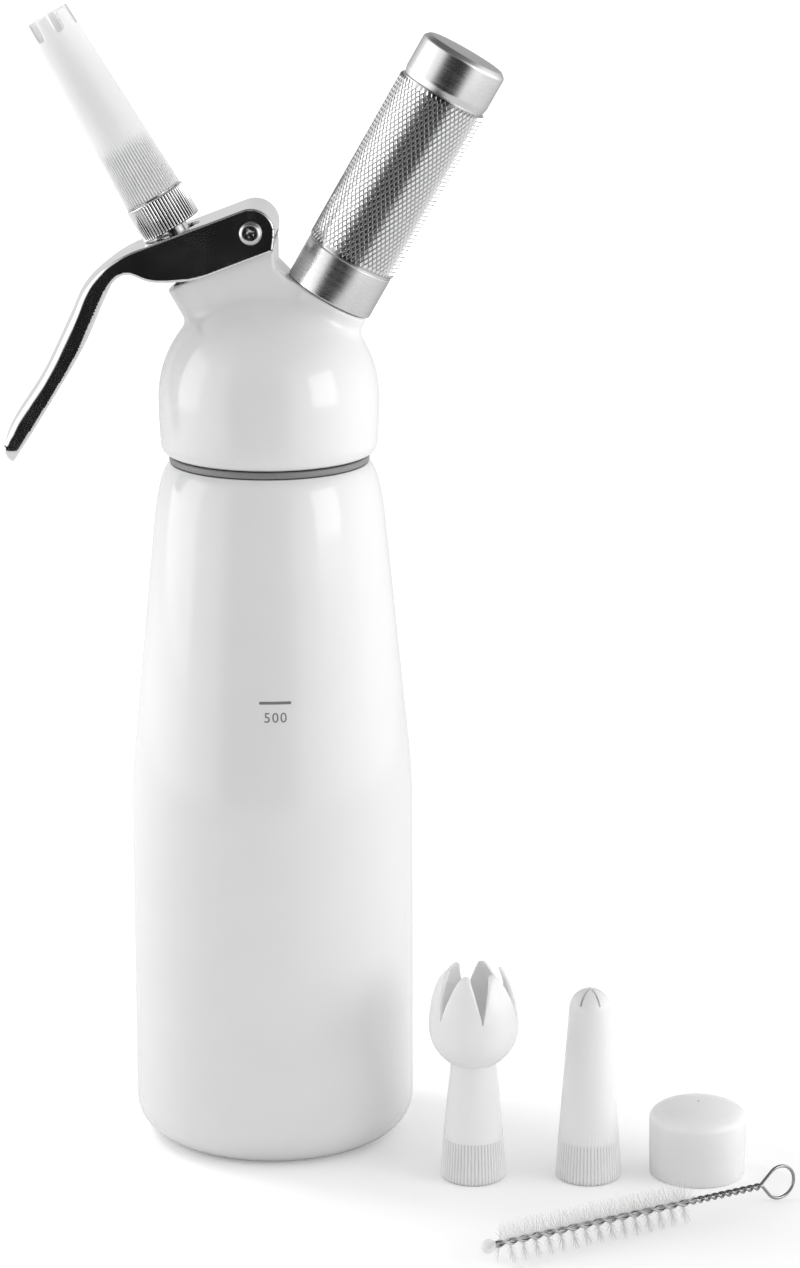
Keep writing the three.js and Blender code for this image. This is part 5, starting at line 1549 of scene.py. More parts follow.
@dataclass
class Valve:
    """What stands in the nozzle boss: piston, spring and spring cap, and the ribbed adapter on top.

    All heights are measured along the nozzle's axis.
    """

    seat: float = 7.0
    neck: float = 3.2
    stem: float = 4.0
    guide: float = 5.05
    upper_stem: float = 4.4
    stub: float = 3.5
    port: float = 2.2
    piston_shoulder: float = 42.571
    stub_top: float = 57.1
    spring_bottom: float = 31.8
    spring_top: float = 42.571
    spring_radius: float = 6.1
    wire: float = 0.5
    coils: float = 5.5
    stroke: float = 3.9
    cap_bottom: float = 42.871
    cap_top: float = 44.371
    cap_bore: float = 4.15
    cap_pocket: float = 6.75
    cap_radius: float = 7.6
    cap_lip: float = 1.2
    adapter_bottom: float = 51.2
    adapter_top: float = 59.2
    adapter_radius: float = 8.25
    adapter_stub: float = 6.3
    adapter_stub_length: float = 6.8
    adapter_mouth: float = 5.4
    adapter_thread: float = 3.9
    adapter_bore: float = 3.0
    rib_count: int = 58
    rib_depth: float = 0.5

    def piston(self) -> None:
        """Turned piston with its grooves and threaded stub."""
        neck, stem, guide, stub = self.neck, self.stem, self.guide, self.stub
        shoulder, top = self.piston_shoulder, self.stub_top
        profile = [
            (0, 13.5), (self.seat, 13.5, 0.5), (self.seat, 15.6, 0.3), (neck, 15.6), (neck, 18.0),
            (stem, 18.0), (stem, 24.0), (guide, 24.0, 0.3), (guide, 26.15), (neck, 26.15), (neck, 27.85),
            (guide, 27.85), (guide, 30.0, 0.3), (self.upper_stem, 30.0), (self.upper_stem, shoulder, 0.2),
            (stem, shoulder), (stem, 44.5), (stub, 44.5), (stub, 45.4), (stem, 45.4), (stem, 52.3, 0.4),
            (stub, 52.3), (stub, top, 0.5), (self.port, top, 0.2), (self.port, 22.0), (0, 20.8),
        ]
        lathe_piece("piston_stem", profile, PLAIN_STEEL, VALVE_AXIS, "valve_piston", "dispensing_piston")

    def spring(self) -> None:
        """Coil spring with closed ends."""
        low, high = self.spring_bottom + self.wire, self.spring_top - self.wire
        steps = 72
        total = self.coils + 1.5
        path = []
        for i in range(round(total * steps) + 1):
            turns = i / steps
            share = min(max((turns - 0.6) / (total - 1.2), 0.0), 1.0)
            rise = low + (high - low) * (0.06 * turns / total + 0.94 * share)
            angle = FULL_TURN * turns
            path.append((self.spring_radius * math.cos(angle), self.spring_radius * math.sin(angle), rise))
        coil = wire_object("valve_coil", path, self.wire, 10, SPRING_WIRE.material(VALVE_AXIS))
        install(coil, VALVE_AXIS, "dispensing_head", SPRING_WIRE.slot, "valve_spring")
        anchor = VALVE_AXIS.matrix() @ Vector((0, 0, self.spring_bottom))
        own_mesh(coil)

    def adapter(self) -> None:
        """Bright ring with straight ribs, a plain stub on top and a bore."""
        low, high, radius = self.adapter_bottom - 1.0, self.adapter_top, self.adapter_radius
        stub, mouth = self.adapter_stub, self.adapter_mouth
        inner, bore = self.adapter_thread, self.adapter_bore
        bevel, stub_top, thread_low, thread_high = 0.25, high + self.adapter_stub_length, 52.6, 57.4
        profile = outline([
            (mouth, low), (radius - bevel, low), (radius, low + bevel), (radius, low + 2 * bevel),
            (radius, high - 2 * bevel), (radius, high - bevel), (radius - bevel, high), (stub, high),
            (stub, stub_top, 0.5), (bore, stub_top, 0.3), (bore, thread_high), (inner, thread_high),
            (inner, thread_low), (mouth, thread_low),
        ])
        # Painted shade: the grooves between the ribs are drawn nearly black in the base colour.
        material = BRIGHT_PLATING.material(VALVE_AXIS, PaintedGrooveShade(radius, self.rib_depth, 0.015))
        ring = mesh_object("adapter_ring", turned(profile, self.rib_count * 16), material)
        ribs = Ribs(
            self.rib_count, self.rib_depth, low + 0.3, high - 0.3, run_out=0.2, inner=7.0, sharpness=1.6,
        )
        ribs.cut(ring)
        install(ring, VALVE_AXIS, "adapter", BRIGHT_PLATING.slot, "nozzle_adapter")

    def build(self) -> None:
        """Build the valve's pieces."""
        self.piston()
        self.spring()
        low, high, lip = self.cap_bottom, self.cap_top, self.cap_bottom - self.cap_lip
        bore, pocket, rim = self.cap_bore, self.cap_pocket, self.cap_radius
        cap = [
            (bore, low), (pocket, low), (pocket, lip, 0.2), (rim, lip, 0.3), (rim, high, 0.5),
            (bore, high, 0.2),
        ]
        lathe_piece("spring_cup", cap, PLAIN_STEEL, VALVE_AXIS, "valve_piston", "spring_cap")
        self.adapter()
        LOG.info("valve built, spring from %.1f to %.1f mm", self.spring_bottom, self.spring_top)


def wire_object(
    name: str, path: Sequence[Corner], radius: float, sides: int, material: bpy.types.Material
) -> bpy.types.Object:
    """Round wire along a path, as a plain mesh."""
    mesh = bpy.data.meshes.new(name)
    mesh.from_pydata([tuple(p) for p in path], [(k, k + 1) for k in range(len(path) - 1)], [])
    values = {"Radius": radius, "Sides": sides, "Material": material}
    return with_tree(linked(name, mesh), GROWTH.wire, values)


@dataclass
class CutTube:
    """Tube of a plastic tip whose upper edge is cut into prongs or petals."""

    outer: list[Corner]
    inner: list[Corner]
    cut_bottom: float
    segments: int
    rows: int = 14
    lip: float = 0.22

    def shell(self, edge: Rule) -> Shell:
        """Skin of the tube.

        Args:
            edge: height of the upper edge at angles round the axis.

        Returns:
            The closed surface.
        """
        angles = np.arange(self.segments) * FULL_TURN / self.segments
        top = edge(angles)
        outer, inner = np.array(self.outer), np.array(self.inner)
        low_out = outer[outer[:, 1] <= self.cut_bottom]
        low_in = inner[inner[:, 1] <= self.cut_bottom]
        shares = np.linspace(0, 1, self.rows + 1)[1:]
        loops = []
        for angle, height in zip(angles, top):
            upper = self.cut_bottom + shares * (height - self.cut_bottom)
            high_out = np.stack([np.interp(upper, outer[:, 1], outer[:, 0]), upper], axis=1)
            high_in = np.stack([np.interp(upper, inner[:, 1], inner[:, 0]), upper], axis=1)
            high_out[-1] += (-self.lip, 0.0)
            high_in[-1] += (self.lip, 0.0)
            high_out[-2, 1] = min(high_out[-2, 1], height - self.lip)
            high_in[-2, 1] = min(high_in[-2, 1], height - self.lip)
            loop = np.vstack([low_out, high_out, high_in[::-1], low_in[::-1]])
            direction = np.array([math.cos(angle), math.sin(angle)])
            loops.append(np.column_stack([loop[:, :1] * direction, loop[:, 1]]))
        return wrapped(np.array(loops))


@dataclass
class CrownTip:
    """Frosted tip on the adapter, with six prongs round its mouth and fine ribs at its foot."""

    bottom: float = 59.5
    length: float = 54.2
    base_radius: float = 7.9
    end_radius: float = 6.0
    wall: float = 1.2
    socket_radius: float = 6.6
    socket_depth: float = 7.1
    slots: int = 6
    slot_depth: float = 5.4
    slot_width: float = 2.9
    slot_turn: float = -10.0
    rib_count: int = 58
    rib_depth: float = 0.32
    rib_top: float = 19.0

    def edge(self, angles: np.ndarray) -> np.ndarray:
        """Height of the mouth's edge, with round-bottomed slots."""
        step = FULL_TURN / self.slots
        offset = np.abs((angles - math.radians(self.slot_turn) + step / 2) % step - step / 2)
        across = np.clip(offset * self.end_radius / (self.slot_width / 2), 0, 1)
        return self.bottom + self.length - self.slot_depth * (1 - across**7) ** (1 / 3)

    def build(self) -> None:
        """Build the tip."""
        foot, end = self.bottom + 0.3, self.bottom + self.length
        rows = np.linspace(0, 1, 40)
        outer = [(self.base_radius - 0.3, self.bottom), (self.base_radius, foot)]
        outer += [
            (self.base_radius + t * (self.end_radius - self.base_radius), foot + t * (self.length - 0.3))
            for t in rows[1:]
        ]
        shelf = self.bottom + self.socket_depth
        narrow = self.socket_radius - self.wall
        inner = [(self.socket_radius + 0.2, self.bottom), (self.socket_radius, foot)]
        inner += [(self.socket_radius, shelf - 0.05), (narrow, shelf)]
        inner += [
            (narrow + t * (self.end_radius - self.wall - narrow), shelf + t * (end - shelf)) for t in rows[1:]
        ]
        tube = CutTube(outer, inner, end - self.slot_depth - 0.6, self.rib_count * 12)
        slope = (self.end_radius - self.base_radius) / self.length
        # Painted shade in the grooves of the foot's ribs.
        painted_groove_shade = PaintedGrooveShade(self.base_radius - slope * self.bottom, self.rib_depth, 0.55, slope)
        material = FROSTED_TIP.material(VALVE_AXIS, painted_groove_shade)
        thing = mesh_object("crown_nozzle", tube.shell(self.edge), material)
        low, high = self.bottom - 7.0, self.bottom + self.rib_top
        Ribs(self.rib_count, self.rib_depth, low, high, run_out=6.0, inner=6.9).cut(thing)
        install(thing, VALVE_AXIS, "fitted_tip", FROSTED_TIP.slot, "crown_tip")


@dataclass
class SpareTips:
    """Tulip tip and straight tip that stand on the table."""

    base_radius: float = 8.8
    socket_radius: float = 6.6
    socket_depth: float = 8.0
    wall: float = 1.2
    tulip_height: float = 58.0
    neck: float = 6.0
    bulb: float = 11.9
    bulb_height: float = 42.6
    mouth: float = 7.6
    petals: int = 6
    cut_depth: float = 11.6
    cut_share: float = 0.68
    cut_turn: float = 12.7
    straight_height: float = 52.6
    shoulder_height: float = 46.9
    shoulder_radius: float = 5.45
    rib_count: int = 56
    rib_depth: float = 0.26
    rib_top: float = 12.5
    tulip_waist: float = -0.35
    straight_waist: float = -0.1
    star_width: float = 0.55
    star_depth: float = 3.7
    star_slots: int = 3

    def bulb_line(self, inset: float) -> list[Corner]:
        """Outline of the bulb from the neck to the mouth, moved inward by the inset."""
        bulb, neck, mouth = self.bulb - inset, self.neck - inset, self.mouth - inset
        low, high = -math.acos(neck / bulb), math.acos(mouth / bulb)
        stretch = (self.tulip_height - self.bulb_height) / (bulb * math.sin(high))
        points = [
            (bulb * math.cos(a), self.bulb_height + bulb * math.sin(a)) for a in np.linspace(low, 0, 16)
        ]
        points += [
            (bulb * math.cos(a), self.bulb_height + stretch * bulb * math.sin(a))
            for a in np.linspace(0, high, 24)[1:]
        ]
        return points

    def foot(self, top: Corner, waist: float, rows: int = 24) -> list[Corner]:
        """Outside of a tip's foot, from the table to the given point.

        Args:
            top: radius and height of the upper end.
            waist: how far the wall is drawn in halfway up, or out below 0.
            rows: number of steps.

        Returns:
            The line's points.
        """
        middle = ((self.base_radius + top[0]) / 2 - waist, top[1] / 2)
        line = drawn_curve((self.base_radius, 0.9), middle, top, rows)
        return [(self.base_radius - 0.8, 0.0), (self.base_radius - 0.25, 0.3), *line]

    def inside(self, bore: float) -> list[Corner]:
        """Inside of a tip's foot: the socket and the step above it."""
        return [
            (self.socket_radius + 0.2, 0.0), (self.socket_radius, 0.3),
            (self.socket_radius, self.socket_depth - 0.05), (bore, self.socket_depth),
        ]

    def petal_edge(self, angles: np.ndarray) -> np.ndarray:
        """Height of the bulb's edge: a wedge is cut between each two petals."""
        outer = np.array(self.bulb_line(0.0))
        heights = np.linspace(self.tulip_height - self.cut_depth, self.tulip_height, 80)
        widest = self.cut_share * math.pi * self.mouth / self.petals
        half = widest * (heights - heights[0]) / self.cut_depth
        radius = np.interp(heights, outer[:, 1], outer[:, 0])
        opening = np.arcsin(np.clip(half / radius, 0, 1))
        step = FULL_TURN / self.petals
        middle = math.radians(self.cut_turn - 90)
        offset = np.abs((angles - middle + step / 2) % step - step / 2)
        tip = np.clip((offset - opening[-1]) / (step / 2 - opening[-1]), 0, 1)
        return np.interp(offset, opening, heights) - 0.5 * (1 - tip) ** 3

    def plastic(self, place: Placement, top: Corner, waist: float) -> bpy.types.Material:
        """White plastic with painted shade in its grooves, for a foot drawn by `foot`."""
        slope = ((top[0] - self.base_radius) / 2 - waist) / (top[1] / 2)
        painted_groove_shade = PaintedGrooveShade(self.base_radius, self.rib_depth, 0.72, slope, self.rib_top - 1.0)
        return WHITE_PLASTIC.material(place, painted_groove_shade)

    def ribs(self) -> Ribs:
        """Fine grip ribs of a tip's foot."""
        return Ribs(self.rib_count, self.rib_depth, -1.0, self.rib_top, run_out=1.6, inner=6.95)

    def tulip(self) -> None:
        """Build the tulip tip."""
        outside, inside = self.bulb_line(0.0), self.bulb_line(self.wall)
        outer = self.foot(outside[0], self.tulip_waist) + outside[1:]
        inner = self.inside(self.socket_radius - self.wall) + inside
        bottom = self.tulip_height - self.cut_depth - 0.5
        tube = CutTube(outer, inner, bottom, self.rib_count * 12)
        material = self.plastic(TULIP_PLACE, outside[0], self.tulip_waist)
        thing = mesh_object("tulip_nozzle", tube.shell(self.petal_edge), material)
        self.ribs().cut(thing)
        install(thing, TULIP_PLACE, "spare_tulip_tip", WHITE_PLASTIC.slot, "tulip_tip")

    def straight(self) -> None:
        """Build the straight tip, with a star of slots in its round end."""
        top = (self.shoulder_radius, self.shoulder_height)
        rise, ceiling = self.straight_height - self.shoulder_height, self.straight_height - self.wall
        dome = [
            (self.shoulder_radius * math.cos(a), self.shoulder_height + rise * math.sin(a))
            for a in np.linspace(0, math.pi / 2, 17)
        ]
        bore = self.shoulder_radius - self.wall
        roof = drawn_curve((0, ceiling), (bore, ceiling), (bore, self.shoulder_height), 12)
        wide = self.socket_radius - self.wall
        low = [
            (wide, self.socket_depth), (self.socket_radius, self.socket_depth), (self.socket_radius, 0.3),
            (self.socket_radius + 0.3, 0.0),
        ]
        fall = self.socket_depth - self.shoulder_height
        bore_line = [
            (bore + (wide - bore) * t, self.shoulder_height + fall * t) for t in np.linspace(0, 1, 12)[1:-1]
        ]
        foot = self.foot(top, self.straight_waist)
        profile = [
            (0, self.straight_height), *dome[-2::-1], *foot[-2::-1], *low[::-1], *bore_line[::-1],
            *roof[::-1],
        ]
        shell = turned(profile, self.rib_count * 8)
        material = self.plastic(STRAIGHT_PLACE, top, self.straight_waist)
        thing = mesh_object("straight_nozzle", shell, material)
        size = (4 * self.shoulder_radius, self.star_width, 2 * self.star_depth)
        slot = box_shell(size, self.straight_height)
        self.ribs().cut(thing)
        carved(thing, [slot.spun(math.pi * k / self.star_slots) for k in range(self.star_slots)])
        shade(thing.data, Smoothing.CRISP)
        install(thing, STRAIGHT_PLACE, "spare_straight_tip", WHITE_PLASTIC.slot, "straight_tip")

    def build(self) -> None:
        """Build both tips."""
        self.tulip()
        self.straight()


@dataclass
class ProtectiveCap:
    """Round cap with a low crown and a vent in its middle."""

    radius: float = 12.95
    height: float = 20.0
    crown: float = 3.2
    wall: float = 1.8
    vent: float = 0.4

    def build(self) -> None:
        """Build the cap."""
        shoulder = self.height - self.crown
        outer = outline([
            (self.radius - 1.8, 0.3), (self.radius - 1.6, 0, 0.3), (self.radius - 0.25, 0, 0.5),
            (self.radius, 8.0, 4.0), (self.radius, shoulder - 0.9, 0.9),
            (self.radius - 0.75, shoulder + 0.25, 0.5), (self.radius - 2.2, shoulder + 1.25),
        ], 6)
        top = drawn_curve(outer[-1], (self.radius * 0.5, self.height), (self.vent, self.height), 20)
        inner = outline([
            (self.vent, self.height), (self.vent, self.height - self.wall),
            (self.radius - self.wall, shoulder - 0.6, 3.0), (self.radius - self.wall, 0.6),
        ], 6)
        profile = outer + top[1:] + inner[1:]
        material = WHITE_PLASTIC.material(CAP_PLACE)
        thing = mesh_object("cap_shell", turned(profile, 144), material)
        install(thing, CAP_PLACE, "loose_cap", WHITE_PLASTIC.slot, "protective_cap")


@dataclass
class Holder:
    """Aluminium charger holder with a diamond knurl between a plain collar and a plain cap."""

    bottom: float = 32.5
    bore: float = 9.5
    thread_bore: float = 10.5
    thread_top: float = 43.5
    collar_radius: float = 12.05
    collar_top: float = 43.9
    groove_radius: float = 11.7
    knurl_bottom: float = 44.5
    knurl_top: float = 93.4
    knurl_radius: float = 12.35
    cap_radius: float = 11.9
    top: float = 105.4
    end_wall: float = 3.0
    columns: int = 57
    rows: int = 42
    stud_height: float = 0.3
    stud_flat: float = 0.62

    def stud(self, pitch: float, width: float) -> Shell:
        """One diamond of the knurl: a four-sided pyramid with a small flat on top, pointing to +X."""
        foot, wide, flat = -0.25, width / 2, self.stud_flat
        base = [(foot, -wide, 0), (foot, 0, -pitch), (foot, wide, 0), (foot, 0, pitch)]
        edge = [(0.0, y, z) for _, y, z in base]
        crown = [(self.stud_height, y * flat, z * flat) for _, y, z in base]
        points = np.array([*base, *edge, *crown])
        faces = [(3, 2, 1, 0), (8, 9, 10, 11)]
        for ring in (0, 4):
            faces += [
                (ring + k, ring + (k + 1) % 4, ring + 4 + (k + 1) % 4, ring + 4 + k) for k in range(4)
            ]
        return Shell(points, faces).outward()

    def build(self) -> None:
        """Build the tube and its knurl."""
        root = self.knurl_radius - self.stud_height
        profile = outline([
            (self.thread_bore, self.bottom + 0.3), (self.thread_bore + 0.3, self.bottom),
            (self.collar_radius, self.bottom, 0.35), (self.collar_radius, self.collar_top, 0.25),
            (self.groove_radius, self.collar_top + 0.15, 0.1), (self.groove_radius, self.knurl_bottom - 0.1),
            (root, self.knurl_bottom), (root, self.knurl_top - 0.2),
            (self.knurl_radius - 0.9, self.knurl_top - 0.1, 0.1),
            (self.cap_radius, self.knurl_top + 1.7, 0.3), (self.cap_radius, self.top - 1.2, 0.5),
            (self.cap_radius - 1.3, self.top, 0.5), (0, self.top),
        ], 6)
        inside = [
            (0, self.top - self.end_wall), (self.bore, self.top - self.end_wall),
            (self.bore, self.thread_top), (self.thread_bore, self.thread_top),
            (self.thread_bore, self.bottom + 0.3),
        ]
        closed = turned(profile[::-1] + inside[-2::-1], 160)
        tube = mesh_object("holder_tube", closed, SATIN_ALUMINIUM.material(CHARGER_AXIS))
        install(tube, CHARGER_AXIS, "holder", SATIN_ALUMINIUM.slot, "charger_holder")
        band = self.knurl_top - 0.4 - self.knurl_bottom
        pitch = band / (self.rows + 1)
        width = FULL_TURN * root / self.columns
        # Painted shade between the knurl's diamonds.
        painted_groove_shade = PaintedGrooveShade(self.knurl_radius, self.stud_height, 0.5)
        material = KNURLED_ALUMINIUM.material(CHARGER_AXIS, painted_groove_shade)
        stud = mesh_object("knurl_diamond", self.stud(pitch, width), material, Smoothing.FACETED)
        near, far, low, high = root - 0.6, root + 0.02, self.knurl_bottom + 0.05, self.knurl_top - 0.25
        sleeve = turned([(near, low), (far, low), (far, high), (near, high)], 2 * self.columns)
        knurl = mesh_object("holder_knurl", sleeve, material)
        values = {
            "Stud": stud, "Columns": self.columns, "Rows": self.rows, "Radius": root,
            "Bottom": self.knurl_bottom + 0.1 + pitch, "Row Pitch": pitch, "Row Turn": math.pi / self.columns,
            "Material": material,
        }
        with_tree(knurl, GROWTH.studs, values)
        bpy.data.objects.remove(stud)
        shade(knurl.data, Smoothing.FACETED)
        install(knurl, CHARGER_AXIS, "holder", KNURLED_ALUMINIUM.slot, "charger_holder")


@dataclass
class Brush:
    """Bottle brush: a twisted wire with a loop at its end, nylon bristles and a bead."""

    length: float = 88.4
    loop_radius: float = 4.4
    loop_gap: float = 0.69
    wire: float = 0.44
    twist_radius: float = 0.55
    loose_pitch: float = 7.4
    tight_pitch: float = 4.4
    bristle_start: float = 3.2
    bristle_zone: float = 57.0
    reach: float = 5.85
    thickness: float = 0.14
    rows: int = 620

    def twist(self, along: float) -> float:
        """Angle of the twist at a distance along the brush: loose among the bristles, then tight."""
        change = self.bristle_start + self.bristle_zone
        loose, tight = min(along, change), max(along - change, 0.0)
        return FULL_TURN * (loose / self.loose_pitch + tight / self.tight_pitch)

    def wire_path(self) -> list[Corner]:
        """Middle line of the wire: along the brush, round the loop and back."""
        first, end = 0.6, self.length - self.loop_radius - 1.2
        steps, loop_steps = 900, 48
        go = []
        for i in range(steps + 1):
            along = first + (end - first) * i / steps
            angle = self.twist(along)
            go.append((self.twist_radius * math.cos(angle), self.twist_radius * math.sin(angle), along))
        back = [(-x, -y, z) for x, y, z in go[::-1]]
        centre = self.length + 0.1
        loop = []
        for k in range(1, loop_steps):
            angle = math.pi - self.loop_gap - (FULL_TURN - 2 * self.loop_gap) * k / loop_steps
            x, z = self.loop_radius * math.sin(angle), self.loop_radius * math.cos(angle)
            loop.append((x, 0.0, centre + z))
        if go[-1][0] < 0:
            loop = [(-x, y, z) for x, y, z in loop]
        return go + loop + back

    def build(self) -> None:
        """Build the wire, the bristles and the bead."""
        steel = BRUSH_WIRE.material(BRUSH_PLACE)
        wire = wire_object("brush_twist", self.wire_path(), self.wire, 8, steel)
        install(wire, BRUSH_PLACE, "cleaning_brush", BRUSH_WIRE.slot, "brush_wire")
        self.bristles()
        bead = [(0, -1.7), (1.25, -1.6, 0.6), (2.0, 0.1, 1.2), (1.3, 1.7, 0.6), (0.9, 1.95, 0.2), (0, 2.0)]
        lathe_piece(
            "brush_end_bead", bead, WHITE_NYLON, BRUSH_PLACE, "cleaning_brush", "brush_bead", segments=32,
        )

    def strand(self) -> Shell:
        """One bristle along +X, thinner towards its end."""
        sides = 4
        rings = [(0.1, 1.0), (3.4, 0.9), (self.reach, 0.55)]
        points = []
        for out, share in rings:
            for k in range(sides):
                angle = FULL_TURN * k / sides
                width = self.thickness / 2 * share
                points.append((out, width * math.cos(angle), width * math.sin(angle)))
        faces = [tuple(range(sides)), tuple(2 * sides + k for k in range(sides))[::-1]]
        for ring in range(2):
            for k in range(sides):
                after = (k + 1) % sides
                low = ring * sides
                faces.append((low + k, low + after, low + sides + after, low + sides + k))
        return Shell(np.array(points), faces).outward()

    def bristles(self) -> None:
        """Rows of bristles that follow the twist of the wire."""
        material = WHITE_NYLON.material(BRUSH_PLACE)
        strand = mesh_object("bristle", self.strand(), material)
        low, high, thin, point = self.bristle_start, self.bristle_start + self.bristle_zone, 0.12, 0.2
        core = turned([(0.0, low - point), (thin, low), (thin, high), (0.0, high + point)], 12)
        bristles = mesh_object("brush_fins", core, material)
        rows = self.rows
        turn = FULL_TURN * self.bristle_zone / rows / self.loose_pitch
        values = {
            "Stud": strand, "Columns": 2, "Rows": rows, "Radius": 0.0, "Bottom": self.bristle_start,
            "Row Pitch": self.bristle_zone / rows, "Row Turn": turn,
            "Lean": 0.06, "Shortest": 0.92, "Seed": 11, "Material": material,
        }
        with_tree(bristles, GROWTH.studs, values)
        bpy.data.objects.remove(strand)
        install(bristles, BRUSH_PLACE, "cleaning_brush", WHITE_NYLON.slot, "brush_bristles")
        # The table presses the lowest bristles flat.
        for vertex in bristles.data.vertices:
            vertex.co.z = max(vertex.co.z, 0.0)


@dataclass
class InnerPieces:
    """Pieces inside that keep the model's own shape and get their finish."""

    finishes: dict[str, tuple[Finish, Placement]] = field(default_factory=lambda: {
        "valve_seal": (BLACK_RUBBER, VALVE_AXIS),
        "piston_o_ring": (BLACK_RUBBER, VALVE_AXIS),
        "retaining_clip": (SPRING_WIRE, VALVE_AXIS),
        "adapter_seal": (BLACK_RUBBER, VALVE_AXIS),
        "piercing_valve_body": (YELLOW_BRASS, CHARGER_AXIS),
        "piercing_valve_o_ring": (BLACK_RUBBER, CHARGER_AXIS),
        "piercing_pin": (PLAIN_STEEL, CHARGER_AXIS),
        "charger_gasket": (BLACK_RUBBER, CHARGER_AXIS),
        "gas_charger": (PLAIN_STEEL, CHARGER_AXIS),
    })

    def build(self) -> None:
        """Dress the inner pieces."""
        for name, (finish, place) in self.finishes.items():
            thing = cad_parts[name]
            thing.data.materials.clear()
            thing.data.materials.append(finish.material(place))
            LOG.info("%s dressed in %s", name, finish.name)


@dataclass(frozen=True)
class SoftLight:
    """Rectangular light that faces the object.

    Attributes:
        name: name of the light.
        place: where it stands, in metres.
        size: its width and height, in metres.
        power: its power in watts.
        mirrored: whether shiny surfaces show it.
    """

    name: str
    place: Corner
    size: Corner
    power: float
    mirrored: bool = True

    def build(self, aim: Corner) -> None:
        """Set up the light so that it faces a point."""
        data = bpy.data.lights.new(self.name, "AREA")
        data.shape = "RECTANGLE"
        data.size, data.size_y = self.size
        data.energy = self.power
        thing = linked(self.name, data)
        thing.location = self.place
        thing.visible_glossy = self.mirrored
        thing.rotation_euler = (Vector(aim) - Vector(self.place)).to_track_quat("-Z", "Y").to_euler()


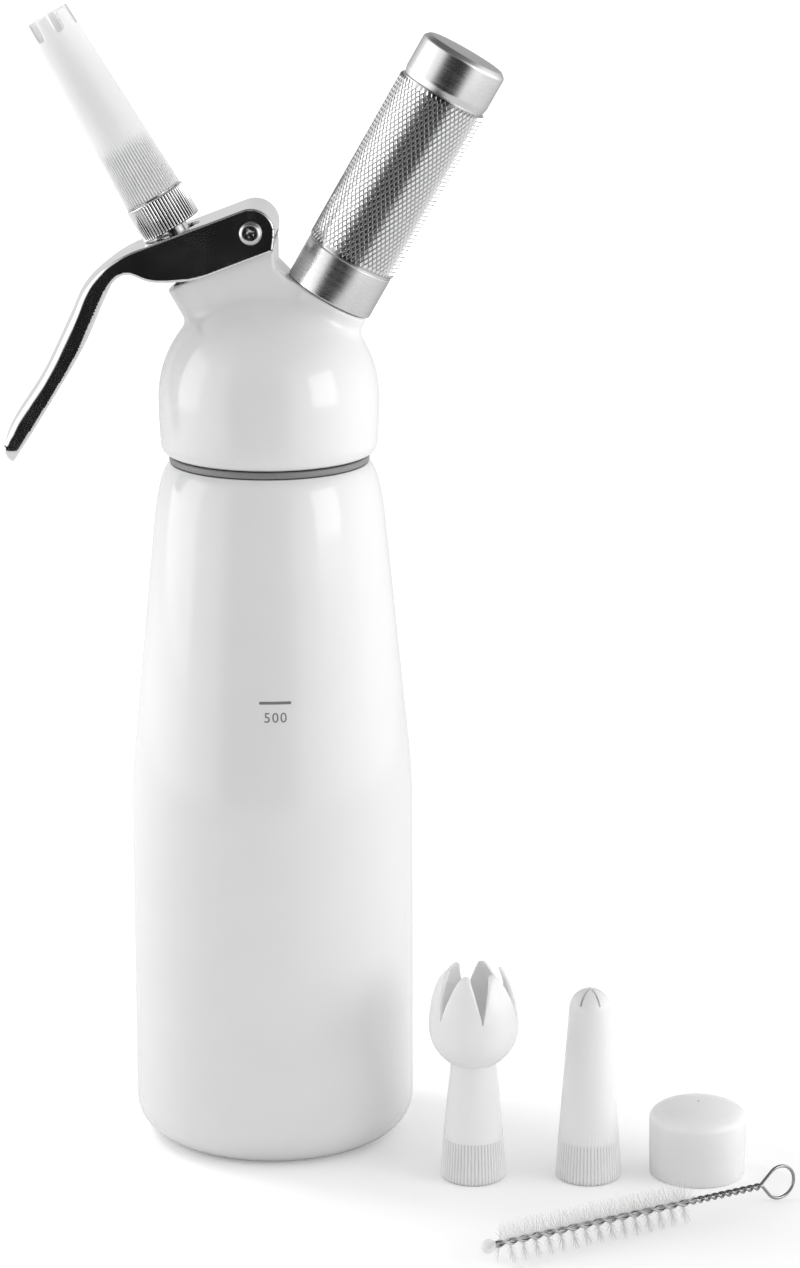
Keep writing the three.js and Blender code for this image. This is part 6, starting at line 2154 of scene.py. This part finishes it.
@dataclass
class Studio:
    """White floor, pale surround that is dark towards the camera, and soft lights."""

    camera_place: tuple[float, float, float] = (63.1, -1031.64, 397.02)
    camera_aim: tuple[float, float, float] = (-0.0268, 0.96984, -0.24225)
    camera_roll: float = -0.089
    focal_pixels: float = 3963.97
    picture_height: int = 1268
    floor_radius: float = 0.62
    wall_level: float = 0.86
    side_extra: float = 0.75
    top_share: float = 0.55
    back_share: float = 0.8
    mirror_share: float = 1.05
    overhead_share: float = 0.3
    soft_share: float = 1.0
    floor_glow: float = 0.22
    far_glow: float = 0.6
    dark_azimuth: float = -98.0
    card_dark: float = 0.985
    card_shade: float = 0.6
    backdrop: float = 1.2
    middle: Corner = (0.0, 0.0, 0.15)
    lights: tuple[SoftLight, ...] = (
        SoftLight("right_light", (1.0, -0.5, 0.42), (0.6, 0.6), 2.8),
        SoftLight("left_light", (-1.05, 0.1, 0.4), (0.9, 0.8), 2.8),
        SoftLight("right_fill", (0.9, 0.15, 0.12), (0.4, 0.3), 0.95, mirrored=False),
        SoftLight("left_key", (-0.6, 0.35, 0.85), (0.3, 0.3), 3.0, mirrored=False),
    )

    def camera(self) -> None:
        """Camera at the photograph's place."""
        data = bpy.data.cameras.new("camera")
        data.sensor_fit = "VERTICAL"
        data.sensor_height = 24.0
        data.lens = data.sensor_height * self.focal_pixels / self.picture_height
        data.clip_start, data.clip_end = 0.05, 20.0
        thing = linked("camera", data)
        forward = Vector(self.camera_aim).normalized()
        right = forward.cross(Vector((0, 0, 1))).normalized()
        up = right.cross(forward)
        roll = math.radians(self.camera_roll)
        turned_right = right * math.cos(roll) + up * math.sin(roll)
        turned_up = up * math.cos(roll) - right * math.sin(roll)
        turn = Matrix((turned_right, turned_up, -forward)).transposed().to_4x4()
        thing.matrix_world = Matrix.Translation(Vector(self.camera_place) * METRES) @ turn
        bpy.context.scene.camera = thing

    def floor(self) -> None:
        """Round pale floor under the object."""
        steps = 96
        angles = [FULL_TURN * k / steps for k in range(steps)]
        points = [(0.0, 0.0, 0.0)]
        points += [(self.floor_radius * math.cos(a), self.floor_radius * math.sin(a), 0.0) for a in angles]
        faces = [(0, 1 + k, 1 + (k + 1) % steps) for k in range(steps)]
        mesh = bpy.data.meshes.new("floor")
        mesh.from_pydata(points, [], faces)
        material = bpy.data.materials.new("floor")
        material.use_nodes = True
        shader = material.node_tree.nodes["Principled BSDF"]
        set_constants(shader, {
            "Base Color": (0.86, 0.86, 0.86, 1.0), "Roughness": 1.0, "Specular IOR Level": 0.0,
            "Emission Color": (1.0, 1.0, 1.0, 1.0),
        })
        graph = Graph(material.node_tree)
        eye = graph.node("ShaderNodeLightPath").outputs["Is Camera Ray"]
        here = graph.node("ShaderNodeTexCoord").outputs["Object"]
        away = graph.measure("LENGTH", here)
        glow = graph.math("MULTIPLY", eye, graph.ramp(away, 0.12, 0.3, self.floor_glow, self.far_glow))
        material.node_tree.links.new(glow, shader.inputs["Emission Strength"])
        mesh.materials.append(material)
        linked("floor", mesh)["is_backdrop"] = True

    def surround(self) -> None:
        """Studio walls: bright on both sides and behind, dark behind the camera.

        The camera itself sees white. Shiny surfaces see the walls with a dark card low behind the
        camera and a darker ceiling, and soft light comes from the walls with a paler card.
        """
        world = bpy.data.worlds.new("studio")
        bpy.context.scene.world = world
        world.use_nodes = True
        graph = Graph(world.node_tree)
        glow = world.node_tree.nodes["Background"]
        way = graph.node("ShaderNodeTexCoord").outputs["Generated"]
        azimuth = math.radians(self.dark_azimuth)
        axes = graph.parts(way)
        side = graph.math("MULTIPLY", axes[0], axes[0])
        base = graph.math("ADD", self.wall_level, graph.math("MULTIPLY", side, self.side_extra))
        back = graph.ramp(axes[1], 0.1, 0.9, 1.0, self.back_share)
        above = graph.math("MULTIPLY", graph.ramp(axes[2], 0.0, 1.0, 1.0, self.top_share), back)
        flat = graph.vector("NORMALIZE", graph.vector("MULTIPLY", way, (1.0, 1.0, 0.0)))
        toward = (math.cos(azimuth), math.sin(azimuth), 0.0)
        dot = graph.measure("DOT_PRODUCT", flat, toward)
        card = graph.math("MULTIPLY", graph.ramp(dot, 0.74, 0.94), graph.ramp(axes[2], 0.3, 0.85, 1.0, 0.0))
        rays = graph.node("ShaderNodeLightPath").outputs
        glossy = rays["Is Glossy Ray"]
        ceiling = self.mirror_share * self.overhead_share
        overhead = graph.ramp(axes[2], 0.5, 0.8, self.mirror_share, ceiling)
        dark = graph.math("SUBTRACT", 1.0, graph.math("MULTIPLY", card, self.card_dark))
        pale = graph.math("SUBTRACT", 1.0, graph.math("MULTIPLY", card, self.card_shade))
        mirrored = graph.product(base, above, dark, overhead, glossy)
        spread = graph.product(base, above, self.soft_share, pale, graph.math("SUBTRACT", 1.0, glossy))
        shown = graph.math("MULTIPLY", rays["Is Camera Ray"], self.backdrop)
        level = graph.math("MAXIMUM", graph.math("ADD", mirrored, spread), shown)
        world.node_tree.links.new(level, glow.inputs["Strength"])
        glow.inputs["Color"].default_value = (1.0, 1.0, 1.0, 1.0)

    def build(self) -> None:
        """Set up the studio."""
        bpy.context.scene.view_settings.view_transform = "Standard"
        self.camera()
        self.floor()
        self.surround()
        for light in self.lights:
            light.build(self.middle)


def main() -> None:
    """Build the object and its studio, and work out both boxes."""
    logging.basicConfig(level=logging.INFO, format="%(name)s: %(message)s")
    Studio().build()
    for part in (
        Bottle(), Head(), Hinge(), Lever(), Valve(), CrownTip(), Holder(), SpareTips(), ProtectiveCap(),
        Brush(), InnerPieces(),
    ):
        part.build()
        LOG.info("%s done", type(part).__name__)
    boxes = {
        name: [[float(value) for value in corner] for corner in box]
        for name, box in (("cad", CAD_BOX), ("visual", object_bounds()))
    }


if __name__ == "__main__":
    main()
